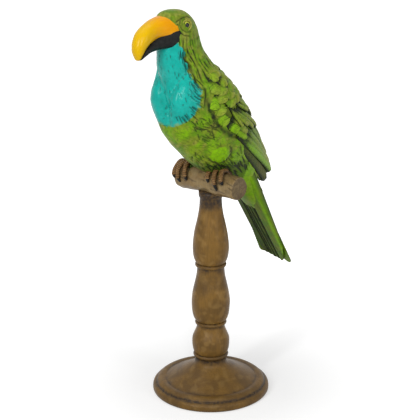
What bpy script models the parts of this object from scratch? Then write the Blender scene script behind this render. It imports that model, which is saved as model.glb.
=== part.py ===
"""Resin toucan figurine on a turned stand, cast and painted as one piece. Metres, +Z up.

The origin is the centre of the base's underside. The bird looks along -Y, and +X is its left.
The log lies along X. Everything above the log is placed from its top, so the bird stays
on the log when the stand or the log changes.
"""
import math

import bmesh
import bpy
import numpy as np

# Turned stand, from the table upwards
BASE_RADIUS = 0.061
BAND_HEIGHT = 0.0082
GROOVE_INSET = 0.0044
GROOVE_HEIGHT = 0.0012
ROLL_HEIGHT = 0.0034
CREASE_RADIUS = 0.0465
CONE_RISE = 0.0165
CONE_TOP_RADIUS = 0.0176
LOW_RING_Z = 0.0395
LOW_RING_RADIUS = 0.0183
MID_RING_Z = 0.0754
MID_RING_RADIUS = 0.0164
TOP_RING_Z = 0.1389
TOP_RING_RADIUS = 0.0162
RING_TUBE = 0.0021
LOW_BULB_RADIUS = 0.0194
MID_BULB_RADIUS = 0.0199
TOP_BULB_RADIUS = 0.0186
NECK_RADIUS = 0.0112
COLLAR_RADIUS = 0.0123
POST_TOP = 0.2180
STAND_STEPS = 30

# Log that the bird stands on
LOG_RADIUS = 0.0120
LOG_SEAT = 0.0030
LOG_NEAR_END = 0.0385
LOG_FAR_END = -0.0455
LOG_SIDES = 18
LOG_DROOP = 0.0014

# Bird
TRUNK_ROWS = 28
TRUNK_COLUMNS = 28
BREAST_SWELL = 0.0050
BREAST_VALLEY = 0.0060
WING_LIFT = 0.0012
WING_THICKNESS = 0.0060
FEATHER_STEP = 0.0017
FEATHER_ROOT = 0.0032
FEATHER_LIFT = 0.0022
MANTLE_ROOT = 0.0085
MANTLE_LIFT = 0.0008
MANTLE_SHIFT = 3.0
TAIL_LENGTH = 0.1180
TAIL_HALF_WIDTH = 0.0208
TAIL_LEAN = 30.5
TAIL_THICKNESS = 0.0070
TAIL_STEP = 0.0014
BEAK_HALF_WIDTH = 0.0098
EYE_RADIUS = 0.0046
LID_RADIUS = 0.0050
LID_TUBE = 0.0011
LEFT_FOOT_X = 0.0190
RIGHT_FOOT_X = -0.0270
TOE_RADIUS = 0.0025
CLAW_LENGTH = 0.0085
LEG_RADIUS = 0.0048

LOG_Z = POST_TOP - LOG_SEAT + LOG_RADIUS
PERCH_TOP = LOG_Z + LOG_RADIUS

# Trunk sections from the crown to the rump, each square to the spine:
# y, height over the log, lean of the spine in degrees, half width, front depth, back depth
TRUNK = (
    (-0.0530, 0.1660, 0.0, 0.0050, 0.0080, 0.0070),
    (-0.0525, 0.1645, 0.0, 0.0085, 0.0140, 0.0120),
    (-0.0515, 0.1605, 0.0, 0.0125, 0.0185, 0.0175),
    (-0.0500, 0.1540, 1.0, 0.0148, 0.0200, 0.0215),
    (-0.0485, 0.1470, 3.0, 0.0158, 0.0205, 0.0240),
    (-0.0470, 0.1390, 5.0, 0.0165, 0.0215, 0.0250),
    (-0.0450, 0.1300, 8.0, 0.0173, 0.0235, 0.0255),
    (-0.0420, 0.1210, 13.0, 0.0198, 0.0260, 0.0252),
    (-0.0370, 0.1120, 20.0, 0.0236, 0.0290, 0.0252),
    (-0.0335, 0.1050, 27.0, 0.0270, 0.0375, 0.0250),
    (-0.0300, 0.0990, 33.0, 0.0305, 0.0450, 0.0252),
    (-0.0220, 0.0870, 33.4, 0.0340, 0.0510, 0.0280),
    (-0.0110, 0.0700, 33.4, 0.0355, 0.0528, 0.0305),
    (0.0005, 0.0525, 33.4, 0.0355, 0.0492, 0.0315),
    (0.0125, 0.0345, 33.4, 0.0330, 0.0440, 0.0310),
    (0.0215, 0.0205, 33.4, 0.0290, 0.0370, 0.0290),
    (0.0300, 0.0080, 33.0, 0.0245, 0.0270, 0.0245),
    (0.0395, -0.0065, 32.0, 0.0200, 0.0180, 0.0190),
    (0.0490, -0.0220, 31.0, 0.0170, 0.0125, 0.0135),
    (0.0580, -0.0370, 30.5, 0.0150, 0.0088, 0.0095),
    (0.0670, -0.0520, 30.5, 0.0130, 0.0050, 0.0055),
)

# Straight part of the spine that carries the wings: a point on it and its lean
SPINE_Y = -0.0220
SPINE_HEIGHT = 0.0870
SPINE_LEAN = 33.4

# Wing surface: distance down the spine, half width, back depth, lower edge and upper edge in degrees
WING = (
    (-0.0210, 0.0250, 0.0175, -2.0, 62.0),
    (-0.0130, 0.0285, 0.0205, -26.0, 72.0),
    (0.0000, 0.0325, 0.0245, -43.0, 80.0),
    (0.0200, 0.0358, 0.0288, -36.0, 81.0),
    (0.0430, 0.0355, 0.0322, -22.0, 81.0),
    (0.0670, 0.0325, 0.0345, -8.0, 80.0),
    (0.0920, 0.0270, 0.0355, 8.0, 79.0),
    (0.1150, 0.0205, 0.0365, 22.0, 78.0),
    (0.1320, 0.0155, 0.0370, 32.0, 74.0),
    (0.1420, 0.0125, 0.0370, 44.0, 66.0),
)

# Beak outline seen from the side: y, height over the log
CULMEN = (
    (-0.0500, 0.1585),
    (-0.0620, 0.1625),
    (-0.0760, 0.1608),
    (-0.0890, 0.1560),
    (-0.0980, 0.1490),
    (-0.1025, 0.1400),
    (-0.1028, 0.1320),
    (-0.1000, 0.1250),
)
GAPE = (
    (-0.0440, 0.1450),
    (-0.0550, 0.1440),
    (-0.0680, 0.1432),
    (-0.0770, 0.1420),
    (-0.0850, 0.1385),
    (-0.0905, 0.1340),
    (-0.0940, 0.1290),
    (-0.0970, 0.1240),
)
CHIN = (
    (-0.0440, 0.1330),
    (-0.0550, 0.1320),
    (-0.0680, 0.1325),
    (-0.0770, 0.1312),
    (-0.0850, 0.1295),
    (-0.0900, 0.1275),
    (-0.0930, 0.1258),
    (-0.0955, 0.1240),
)


def clear_scene():
    for thing in list(bpy.data.objects):
        bpy.data.objects.remove(thing, do_unlink=True)


def make_collection(name):
    group = bpy.data.collections.new(name)
    bpy.context.scene.collection.children.link(group)
    return group


def resin_paint(name, color, roughness):
    material = bpy.data.materials.new(name)
    material.use_nodes = True
    shader = material.node_tree.nodes["Principled BSDF"]
    shader.inputs["Base Color"].default_value = (*color, 1.0)
    shader.inputs["Roughness"].default_value = roughness
    shader.inputs["Metallic"].default_value = 0.0
    return material


def along(table, t):
    """Point at t, from 0 to 1, on a smooth curve through the rows of a table."""
    rows = np.asarray(table, dtype=float)
    place = np.clip(t, 0.0, 1.0) * (len(rows) - 1)
    i = int(min(math.floor(place), len(rows) - 2))
    f = place - i
    before = rows[max(i - 1, 0)]
    after = rows[min(i + 2, len(rows) - 1)]
    start, end = rows[i], rows[i + 1]
    slope_in = (end - before) / 2.0
    slope_out = (after - start) / 2.0
    return (start * (2 * f**3 - 3 * f**2 + 1) + slope_in * (f**3 - 2 * f**2 + f)
            + end * (3 * f**2 - 2 * f**3) + slope_out * (f**3 - f**2))


def loft(name, rings):
    """Closed solid through rings of points, capped flat at both ends."""
    mesh = bpy.data.meshes.new(name)
    shape = bmesh.new()
    rows = [[shape.verts.new(point) for point in ring] for ring in rings]
    count = len(rows[0])
    for lower, upper in zip(rows, rows[1:]):
        for i in range(count):
            j = (i + 1) % count
            shape.faces.new((lower[i], lower[j], upper[j], upper[i]))
    shape.faces.new(rows[0][::-1])
    shape.faces.new(rows[-1])
    bmesh.ops.recalc_face_normals(shape, faces=shape.faces)
    shape.to_mesh(mesh)
    shape.free()
    mesh.shade_smooth()
    return mesh


def mirrored(mesh, name):
    copy = mesh.copy()
    copy.name = name
    shape = bmesh.new()
    shape.from_mesh(copy)
    bmesh.ops.scale(shape, vec=(-1.0, 1.0, 1.0), verts=shape.verts)
    bmesh.ops.reverse_faces(shape, faces=shape.faces)
    shape.to_mesh(copy)
    shape.free()
    return copy


def add_member(group, name, mesh, both_sides=False):
    """A shape of the casting, kept in wire display because the figurine takes it in."""
    meshes = [(name, mesh)]
    if both_sides:
        meshes = [(name + "_left", mesh), (name + "_right", mirrored(mesh, name + "_right"))]
    for label, data in meshes:
        member = bpy.data.objects.new(label, data)
        member.display_type = 'WIRE'
        member.hide_render = True
        group.objects.link(member)


# Turned stand

def bead(radius, z, tube, steps=4):
    """Half round bead, from its top to its bottom."""
    turns = [math.pi * (0.5 - i / (steps - 1)) for i in range(steps)]
    return [(radius - tube + tube * math.cos(a), z + tube * math.sin(a)) for a in turns]


def swelling(top, widest, bottom, steps=4):
    """Long swelling between two necks, each given as radius and height."""
    points = []
    for i in range(steps):
        ease = (1.0 - math.cos(math.pi * i / steps)) / 2.0
        points.append((top[0] + (widest[0] - top[0]) * ease, top[1] + (widest[1] - top[1]) * i / steps))
    for i in range(steps - 1):
        turn = math.pi / 2 * i / (steps - 1)
        points.append((bottom[0] + (widest[0] - bottom[0]) * math.cos(turn),
                       widest[1] + (bottom[1] - widest[1]) * math.sin(turn)))
    return points


def stand_profile():
    """Radius and height down the outer side, from the post's top to the centre of the underside."""
    collar_z = POST_TOP - LOG_SEAT
    points = [(0.0, POST_TOP), (COLLAR_RADIUS, POST_TOP), (COLLAR_RADIUS, collar_z - 0.0020)]
    points += [(NECK_RADIUS, collar_z - 0.0050)]
    rings = ((TOP_RING_RADIUS, TOP_RING_Z), (MID_RING_RADIUS, MID_RING_Z), (LOW_RING_RADIUS, LOW_RING_Z))
    bulbs = ((TOP_BULB_RADIUS, 0.24), (MID_BULB_RADIUS, 0.34), (LOW_BULB_RADIUS, 0.42))
    above = (NECK_RADIUS, collar_z - 0.0060)
    for (ring_radius, ring_z), (bulb_radius, level) in zip(rings, bulbs):
        below = (ring_radius - RING_TUBE, ring_z + RING_TUBE)
        widest = (bulb_radius, below[1] + (above[1] - below[1]) * level)
        points += swelling(above, widest, below)
        points += bead(ring_radius, ring_z, RING_TUBE)
        above = (ring_radius - RING_TUBE, ring_z - RING_TUBE)
    roll_top = BAND_HEIGHT + GROOVE_HEIGHT + ROLL_HEIGHT
    for share in (0.02, 0.12, 0.33, 0.62, 0.88, 1.0):
        radius = CONE_TOP_RADIUS + (CREASE_RADIUS - CONE_TOP_RADIUS) * share
        points.append((radius, roll_top + CONE_RISE * (1.0 - share)))
    groove = BASE_RADIUS - GROOVE_INSET
    points += [(CREASE_RADIUS + 0.0045, roll_top - 0.0004), (groove - 0.0018, roll_top - 0.0014)]
    points += [(groove, BAND_HEIGHT + GROOVE_HEIGHT), (groove + 0.0004, BAND_HEIGHT + 0.0002)]
    points += [(BASE_RADIUS - 0.0018, BAND_HEIGHT - 0.0006), (BASE_RADIUS - 0.0003, BAND_HEIGHT * 0.66)]
    points += [(BASE_RADIUS, BAND_HEIGHT * 0.35), (BASE_RADIUS - 0.0016, 0.0), (0.0, 0.0)]
    return points


def make_stand(group):
    profile = stand_profile()
    mesh = bpy.data.meshes.new("toucan_figurine")
    edges = [(i, i + 1) for i in range(len(profile) - 1)]
    mesh.from_pydata([(radius, 0.0, z) for radius, z in profile], edges, [])
    stand = bpy.data.objects.new("toucan_figurine", mesh)
    group.objects.link(stand)
    turn = stand.modifiers.new("turned", 'SCREW')
    turn.axis = 'Z'
    turn.steps = STAND_STEPS
    turn.render_steps = STAND_STEPS
    turn.use_merge_vertices = True
    turn.merge_threshold = 0.00005
    turn.use_smooth_shade = True
    return stand


# Log

def make_log(group):
    stations = (
        (LOG_FAR_END, 0.40), (LOG_FAR_END + 0.0012, 0.72), (LOG_FAR_END + 0.0040, 0.93),
        (LOG_FAR_END + 0.0110, 1.04), (LOG_FAR_END + 0.0305, 1.03), (LOG_FAR_END + 0.0535, 1.00),
        (LOG_NEAR_END - 0.0120, 0.97), (LOG_NEAR_END - 0.0006, 0.95), (LOG_NEAR_END, 0.91),
    )
    rings = []
    for x, share in stations:
        ring = []
        for i in range(LOG_SIDES):
            angle = 2 * math.pi * i / LOG_SIDES
            knot = 1.0 + 0.018 * math.sin(3 * angle + 90 * x)
            radius = LOG_RADIUS * share * knot
            droop = LOG_DROOP * min(0.0, x) / abs(LOG_FAR_END)
            ring.append((x, radius * math.cos(angle), LOG_Z + droop + radius * math.sin(angle)))
        rings.append(ring)
    add_member(group, "log", loft("log", rings))


# Head, neck and trunk in one

def trunk_point(t, angle, out=0.0):
    """Point of the trunk: t runs from crown to rump, angle 0 is the bird's left and 90 its back."""
    y, height, lean, half_width, front, back = along(TRUNK, t)
    side, depth = math.cos(angle), math.sin(angle)
    reach = back if depth > 0 else front
    x = (half_width + out) * side
    inward = (reach + out) * depth
    lean = math.radians(lean)
    y += inward * math.cos(lean)
    z = height + inward * math.sin(lean)
    if depth < 0:
        swell = math.exp(-((abs(x) - 0.0170) / 0.0105) ** 2 - ((z - 0.0870) / 0.0190) ** 2)
        valley = math.exp(-(x / 0.0065) ** 2 - ((z - 0.0740) / 0.0170) ** 2)
        push = (BREAST_SWELL * swell - BREAST_VALLEY * valley) * -depth
        x += push * side
        y -= push * math.cos(lean) * -depth
        z -= push * math.sin(lean) * -depth
    return (x, y, PERCH_TOP + z)


def make_trunk(group):
    rings = []
    for row in range(TRUNK_ROWS):
        t = row / (TRUNK_ROWS - 1)
        turns = [2 * math.pi * (i + 0.5) / TRUNK_COLUMNS for i in range(TRUNK_COLUMNS)]
        rings.append([trunk_point(t, angle) for angle in turns])
    add_member(group, "trunk", loft("trunk", rings))


# Feathers

def wing_point(distance, angle, out=0.0):
    """Point over the wing's surface: distance down the spine, angle 0 is the side and 90 the back."""
    places = [row[0] for row in WING]
    half_width = np.interp(distance, places, [row[1] for row in WING])
    depth = np.interp(distance, places, [row[2] for row in WING])
    lean = math.radians(SPINE_LEAN)
    turn = math.radians(angle)
    x = (half_width + WING_LIFT + out) * math.cos(turn)
    back = (depth + WING_LIFT + out) * math.sin(turn)
    y = SPINE_Y + distance * math.sin(lean) + back * math.cos(lean)
    z = SPINE_HEIGHT - distance * math.cos(lean) + back * math.sin(lean)
    return np.array((x, y, PERCH_TOP + z))


def make_wing_plate(group):
    """Body of the folded wing: a curved plate that stands free of the tail at its tip."""
    rings = []
    across = 7
    for distance, _, _, low, high in WING:
        thickness = WING_THICKNESS * (1.0 - 0.45 * max(0.0, distance) / WING[-1][0])
        angles = [low + (high - low) * i / (across - 1) for i in range(across)]
        outer = []
        for i, angle in enumerate(angles):
            edge = math.sin(math.pi * i / (across - 1))
            outer.append(wing_point(distance, angle, -0.0022 * (1.0 - edge)))
        inner = [wing_point(distance, angle, -thickness) for angle in reversed(angles)]
        rings.append(outer + inner)
    add_member(group, "wing", loft("wing", rings), both_sides=True)


# Across one feather: share of its width, how far its face drops there, share of its length
FEATHER_COLUMNS = ((0.04, 0.0, 0.87), (0.50, 0.2, 1.0), (1.00, 1.0, 0.87))
# Along one feather: share of its length, how much of its lift it has there
FEATHER_STATIONS = ((0.00, 0.0), (0.50, 0.65), (0.88, 1.0), (1.00, 0.75))


def between(points, place):
    """Point at a place in a list of points one step apart, carried on past both ends."""
    rows = np.asarray(points, dtype=float)
    i = int(np.clip(math.floor(place), 0, len(rows) - 2))
    return rows[i] + (rows[i + 1] - rows[i]) * (place - i)


def feather_row(name, roots, tips, lift, depth=FEATHER_ROOT, step=FEATHER_STEP):
    """A row of carved feathers in one solid, each with its upper edge under the next one.

    roots and tips give the middle of each feather as distance and angle on the wing's surface.
    """
    rings = []
    for i in range(len(roots)):
        for across, drop, length in FEATHER_COLUMNS:
            root = between(roots, i + across - 0.5)
            tip = between(tips, i + across - 0.5)
            ring = [wing_point(*root, -depth)]
            for share, raised in FEATHER_STATIONS:
                place = root + (tip - root) * share * length
                ring.append(wing_point(*place, lift + FEATHER_LIFT * raised - step * drop))
            ring.append(wing_point(*(root + (tip - root) * length), -depth))
            rings.append(ring)
    return loft(name, rings)


def make_wing_feathers(group):
    """Rows from the wing's tip to its shoulder, each over the roots of the row below it."""
    flight_roots = [(0.044 - 0.002 * i, -13 + 20 * i) for i in range(5)]
    flight_tips = ((0.1500, 33), (0.1405, 53), (0.1250, 64), (0.1060, 71), (0.0860, 76))
    flight = feather_row("flight", flight_roots, flight_tips, 0.0008)
    add_member(group, "flight_feathers", flight, both_sides=True)
    under_roots, under_tips = ((0.092, -6), (0.088, 8)), ((0.1420, 17), (0.1505, 30))
    under = feather_row("under_flight", under_roots, under_tips, -0.0042, 0.0074)
    add_member(group, "under_flight_feathers", under, both_sides=True)
    lower_roots, lower_tips = ((0.027, -25), (0.034, -11)), ((0.0470, -12), (0.0620, 3))
    lower = feather_row("lower_coverts", lower_roots, lower_tips, 0.0010)
    add_member(group, "lower_coverts", lower, both_sides=True)
    covert_roots = [(0.016 + 0.001 * i, -17 + 16 * i) for i in range(6)]
    covert_tips = [(0.050 + 0.0052 * i, -7 + 15.5 * i) for i in range(6)]
    coverts = feather_row("coverts", covert_roots, covert_tips, 0.0020)
    add_member(group, "long_coverts", coverts, both_sides=True)
    for row in range(3):
        start = 0.006 - 0.0115 * row
        spread = [-30 + 10 * row + 20 * i for i in range(5 - row // 2)]
        roots = [(start, angle) for angle in spread]
        tips = [(start + 0.019, angle + 4) for angle in spread]
        mesh = feather_row("scallops", roots, tips, 0.0026 + 0.0004 * row)
        add_member(group, "scallops_%d" % row, mesh, both_sides=True)


def make_mantle(group):
    """Scalloped feathers down the middle of the back, between the wings."""
    for row in range(6):
        start = -0.024 + 0.0135 * (5 - row)
        spread = (66.0, 82.0, 98.0, 114.0) if row > 3 else (82.0, 98.0)
        shift = 0.0 if row % 2 else MANTLE_SHIFT
        roots = [(start, angle + shift) for angle in spread]
        tips = [(start + 0.019, angle + shift) for angle in spread]
        mesh = feather_row("mantle", roots, tips, MANTLE_LIFT + 0.0003 * row, MANTLE_ROOT)
        add_member(group, "mantle_%d" % row, mesh)


def make_tail(group):
    """Five long feathers side by side, thick at the rump and thin at their tips."""
    lean = math.radians(TAIL_LEAN)
    start = np.array((0.0, 0.0490, PERCH_TOP - 0.0230))
    run = np.array((0.0, math.sin(lean), -math.cos(lean)))
    top = np.array((0.0, math.cos(lean), math.sin(lean)))
    side = np.array((1.0, 0.0, 0.0))
    rings = []
    count = 5
    for i in range(count):
        length = TAIL_LENGTH * (1.0 - 0.030 * abs(i - count // 2) ** 1.5)
        for across, drop, reach in FEATHER_COLUMNS:
            spread = (i + across) / count * 2.0 - 1.0
            upper = []
            lower = []
            for share in (-0.15, 0.20, 0.60, 0.93, 1.0):
                along_tail = length * share * (1.0 if share < 1.0 else 0.985 + 0.12 * (reach - 0.87))
                half = TAIL_HALF_WIDTH * (1.0 - 0.08 * max(0.0, share))
                thick = TAIL_THICKNESS * (1.0 - 0.72 * max(0.0, share))
                flat = thick * (1.0 - 0.30 * spread**2)
                centre = start + run * along_tail + side * spread * half
                upper.append(centre + top * (flat - TAIL_STEP * drop))
                lower.append(centre - top * (flat - TAIL_STEP * (1.0 - drop)))
            rings.append(upper + lower[::-1])
    add_member(group, "tail", loft("tail", rings))


# Head details

def mandible(name, upper, lower, half_width, wide_below):
    """Beak half between two side outlines, widest where it meets the other half."""
    rings = []
    rows = 11
    for row in range(rows):
        t = row / (rows - 1)
        top, bottom = along(upper, t), along(lower, t)
        width = half_width * math.sqrt(max(1.0 - t**2.6, 0.012))
        ring = []
        for i in range(12):
            turn = 2 * math.pi * (i + 0.5) / 12
            across = math.sin(turn)
            down = (1.0 - math.cos(turn)) / 2.0
            level = down if wide_below else 1.0 - down
            full = 1.0 + 0.22 * (2.0 * level - 1.0) * abs(across)
            y, z = top + (bottom - top) * down
            ring.append((width * across * full, y, PERCH_TOP + z))
        rings.append(ring)
    return loft(name, rings)


def make_beak(group):
    add_member(group, "upper_beak", mandible("upper_beak", CULMEN, GAPE, BEAK_HALF_WIDTH, True))
    inner_gape = [(y + 0.0004, z + 0.0030) for y, z in GAPE[:-1]]
    inner_gape += [(GAPE[-1][0] + 0.0004, GAPE[-1][1] + 0.0012)]
    add_member(group, "lower_beak", mandible("lower_beak", inner_gape, CHIN, BEAK_HALF_WIDTH * 0.86, False))


def make_eye(group):
    """Eyeball and the raised ring of its lid."""
    centre = (0.0118, -0.0480, PERCH_TOP + 0.1527)
    mesh = bpy.data.meshes.new("eye")
    shape = bmesh.new()
    bmesh.ops.create_uvsphere(shape, u_segments=8, v_segments=6, radius=EYE_RADIUS)
    bmesh.ops.translate(shape, vec=centre, verts=shape.verts)
    shape.to_mesh(mesh)
    shape.free()
    add_member(group, "eye", mesh, both_sides=True)
    outward = np.array((math.cos(math.radians(8)), -math.sin(math.radians(8)), 0.0))
    along_face = np.array((outward[1], -outward[0], 0.0))
    up = np.array((0.0, 0.0, 1.0))
    middle = np.array(centre) + outward * (EYE_RADIUS - 0.0018)
    rings = []
    for i in range(12):
        turn = 2 * math.pi * i / 12
        radial = along_face * math.cos(turn) + up * math.sin(turn)
        ring = []
        for j in range(5):
            bend = 2 * math.pi * j / 5
            reach = LID_RADIUS + LID_TUBE * math.cos(bend)
            ring.append(middle + radial * reach + outward * LID_TUBE * math.sin(bend))
        rings.append(ring)
    add_member(group, "eyelid", ring_mesh("eyelid", rings), both_sides=True)


def ring_mesh(name, rings):
    """Closed loop of rings, as in a lid or a collar."""
    mesh = bpy.data.meshes.new(name)
    shape = bmesh.new()
    rows = [[shape.verts.new(point) for point in ring] for ring in rings]
    for k, row in enumerate(rows):
        following = rows[(k + 1) % len(rows)]
        for i in range(len(row)):
            j = (i + 1) % len(row)
            shape.faces.new((row[i], row[j], following[j], following[i]))
    bmesh.ops.recalc_face_normals(shape, faces=shape.faces)
    shape.to_mesh(mesh)
    shape.free()
    return mesh


# Feet

def on_log(x, angle, out):
    """Point beside the log: angle 90 is its top and 0 its front."""
    turn = math.radians(angle)
    reach = LOG_RADIUS + out
    return np.array((x, -reach * math.cos(turn), LOG_Z + reach * math.sin(turn)))


def toe(name, x_root, x_tip, start, end, claw_turn):
    """Toe that grips the log from start to end in degrees, with knuckle ridges and a claw."""
    rings = []
    sides = 6
    rows = 7
    for row in range(rows):
        share = row / (rows - 1)
        ridge = 1.0 + (0.10 if row % 2 else -0.04)
        rings.append(toe_ring(x_root + (x_tip - x_root) * share, start + (end - start) * share,
                              TOE_RADIUS * ridge, TOE_RADIUS * 0.55, sides))
    step = math.copysign(1.0, end - start) * math.degrees(CLAW_LENGTH / LOG_RADIUS)
    for share, size in ((0.10, 0.78), (0.45, 0.55), (0.80, 0.30), (1.00, 0.12)):
        rings.append(toe_ring(x_tip + claw_turn * share, end + step * share, TOE_RADIUS * size,
                              TOE_RADIUS * (0.55 - 0.75 * share**2), sides))
    return loft(name, rings)


def toe_ring(x, angle, radius, out, sides):
    centre = on_log(x, angle, out)
    outward = on_log(x, angle, out + 0.001) - centre
    outward /= np.linalg.norm(outward)
    side = np.array((1.0, 0.0, 0.0))
    turns = [2 * math.pi * (i + 0.5) / sides for i in range(sides)]
    return [centre + side * radius * math.cos(a) + outward * radius * math.sin(a) for a in turns]


def make_feet(group):
    """Three toes in front and one behind on each foot, and the leg up into the belly."""
    front_toes = ((-0.0035, -0.0100, 0.0, 26), (0.0, -0.0020, 0.0030, 10), (0.0035, 0.0070, 0.0020, 26))
    leg_stations = (
        (0.0060, 0.0260, 1.25), (0.0035, 0.0140, 1.0), (0.0010, 0.0050, 0.85), (0.0, -0.0010, 0.95),
    )
    for label, middle in (("left", LEFT_FOOT_X), ("right", RIGHT_FOOT_X)):
        for i, (root, tip, claw, end) in enumerate(front_toes):
            mesh = toe("toe", middle + root, middle + tip, 104, end, claw)
            add_member(group, "toe_%s_%d" % (label, i), mesh)
        add_member(group, "hind_toe_%s" % label, toe("toe", middle, middle, 88, 196, 0.0))
        rings = []
        for y, height, size in leg_stations:
            radius = LEG_RADIUS * size
            turns = [2 * math.pi * i / 10 for i in range(10)]
            rings.append([(middle + radius * math.cos(a), y + radius * math.sin(a), PERCH_TOP + height)
                          for a in turns])
        add_member(group, "leg_%s" % label, loft("leg", rings))


def main():
    clear_scene()
    figurine_group = make_collection("toucan_figurine")
    members = make_collection("cast_members")
    stand = make_stand(figurine_group)
    make_log(members)
    make_trunk(members)
    make_wing_plate(members)
    make_wing_feathers(members)
    make_mantle(members)
    make_tail(members)
    make_beak(members)
    make_eye(members)
    make_feet(members)
    cast = stand.modifiers.new("cast_in_one", 'BOOLEAN')
    cast.operation = 'UNION'
    cast.solver = 'EXACT'
    cast.operand_type = 'COLLECTION'
    cast.collection = members
    stand.data.materials.append(resin_paint("painted_resin", (0.20, 0.33, 0.05), 0.42))


main()
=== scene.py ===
"""Resin toucan figurine on a turned stand: its carving and hand painting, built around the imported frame."""
import math

import bmesh
import bpy
import numpy as np
from bpy.props import FloatProperty, FloatVectorProperty, PointerProperty
from bpy.types import Operator, Panel, PropertyGroup
from mathutils import Matrix, Vector


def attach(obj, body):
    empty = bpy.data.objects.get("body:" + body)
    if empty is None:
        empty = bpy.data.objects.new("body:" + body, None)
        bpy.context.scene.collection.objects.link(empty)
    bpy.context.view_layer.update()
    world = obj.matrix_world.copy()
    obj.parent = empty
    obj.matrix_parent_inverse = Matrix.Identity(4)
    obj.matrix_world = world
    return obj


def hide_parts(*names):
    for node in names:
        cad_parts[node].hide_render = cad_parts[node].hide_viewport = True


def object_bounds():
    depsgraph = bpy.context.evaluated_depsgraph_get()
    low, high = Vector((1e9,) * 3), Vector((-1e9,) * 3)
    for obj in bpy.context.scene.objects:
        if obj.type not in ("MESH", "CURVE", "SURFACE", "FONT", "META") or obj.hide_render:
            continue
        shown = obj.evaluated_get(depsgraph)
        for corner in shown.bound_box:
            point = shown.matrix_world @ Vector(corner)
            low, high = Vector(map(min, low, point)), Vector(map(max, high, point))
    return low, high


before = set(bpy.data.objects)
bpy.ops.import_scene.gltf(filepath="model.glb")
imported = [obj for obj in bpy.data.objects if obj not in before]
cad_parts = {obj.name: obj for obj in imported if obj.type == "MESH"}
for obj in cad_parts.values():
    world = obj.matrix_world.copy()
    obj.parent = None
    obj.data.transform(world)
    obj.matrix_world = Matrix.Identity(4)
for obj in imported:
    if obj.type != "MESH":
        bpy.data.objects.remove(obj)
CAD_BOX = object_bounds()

bl_info = {
    "name": "Resin toucan figurine",
    "version": (1, 0, 0),
    "blender": (4, 5, 0),
    "location": "3D View > Sidebar > Figurine",
    "description": "Builds the carved and painted surface of a resin toucan on a turned stand",
    "category": "Object",
}

# The casting's node and its body in the frame, and a millimetre in metres
NODE = "toucan_figurine"
BODY = "root"
MM = 0.001

# The photograph's frame is square; the lens is in mm on Blender's 36 mm film
CAMERA_PLACE = (0.8184, -0.8776, 0.5852)
CAMERA_AZIMUTH = 43.0
CAMERA_PITCH = 17.94
CAMERA_LENS = 106.9
CAMERA_FILM = 36.0
CAMERA_SHIFT = -0.0019

# Trunk sections down the spine: y, height over the log, lean in degrees, half width, front and back depth
TRUNK = (
    (-0.0530, 0.1660, 0.0, 0.0050, 0.0080, 0.0070),
    (-0.0525, 0.1645, 0.0, 0.0085, 0.0140, 0.0120),
    (-0.0515, 0.1605, 0.0, 0.0125, 0.0185, 0.0175),
    (-0.0500, 0.1540, 1.0, 0.0148, 0.0200, 0.0215),
    (-0.0485, 0.1470, 3.0, 0.0158, 0.0205, 0.0240),
    (-0.0470, 0.1390, 5.0, 0.0165, 0.0215, 0.0250),
    (-0.0450, 0.1300, 8.0, 0.0173, 0.0235, 0.0255),
    (-0.0420, 0.1210, 13.0, 0.0198, 0.0260, 0.0252),
    (-0.0370, 0.1120, 20.0, 0.0236, 0.0290, 0.0252),
    (-0.0335, 0.1050, 27.0, 0.0270, 0.0375, 0.0250),
    (-0.0300, 0.0990, 33.0, 0.0305, 0.0450, 0.0252),
    (-0.0220, 0.0870, 33.4, 0.0340, 0.0510, 0.0280),
    (-0.0110, 0.0700, 33.4, 0.0355, 0.0528, 0.0305),
    (0.0005, 0.0525, 33.4, 0.0355, 0.0492, 0.0315),
    (0.0125, 0.0345, 33.4, 0.0330, 0.0440, 0.0310),
    (0.0215, 0.0205, 33.4, 0.0290, 0.0370, 0.0290),
    (0.0300, 0.0080, 33.0, 0.0245, 0.0270, 0.0245),
    (0.0395, -0.0065, 32.0, 0.0200, 0.0180, 0.0190),
    (0.0490, -0.0220, 31.0, 0.0170, 0.0125, 0.0135),
    (0.0580, -0.0370, 30.5, 0.0150, 0.0088, 0.0095),
    (0.0670, -0.0520, 30.5, 0.0130, 0.0050, 0.0055),
)
PERCH_TOP = 0.2390
SPINE_Y = -0.0220
SPINE_HEIGHT = 0.0870
SPINE_LEAN = 33.4

# Wing surface: distance down the spine, half width, back depth, lower and upper edge in degrees
WING = (
    (-0.0210, 0.0250, 0.0175, -2.0, 62.0),
    (-0.0130, 0.0285, 0.0205, -26.0, 72.0),
    (0.0000, 0.0325, 0.0245, -43.0, 80.0),
    (0.0200, 0.0358, 0.0288, -36.0, 81.0),
    (0.0430, 0.0355, 0.0322, -22.0, 81.0),
    (0.0670, 0.0325, 0.0345, -8.0, 80.0),
    (0.0920, 0.0270, 0.0355, 8.0, 79.0),
    (0.1150, 0.0205, 0.0365, 22.0, 78.0),
    (0.1320, 0.0155, 0.0370, 32.0, 74.0),
    (0.1420, 0.0125, 0.0370, 44.0, 66.0),
)
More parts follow.
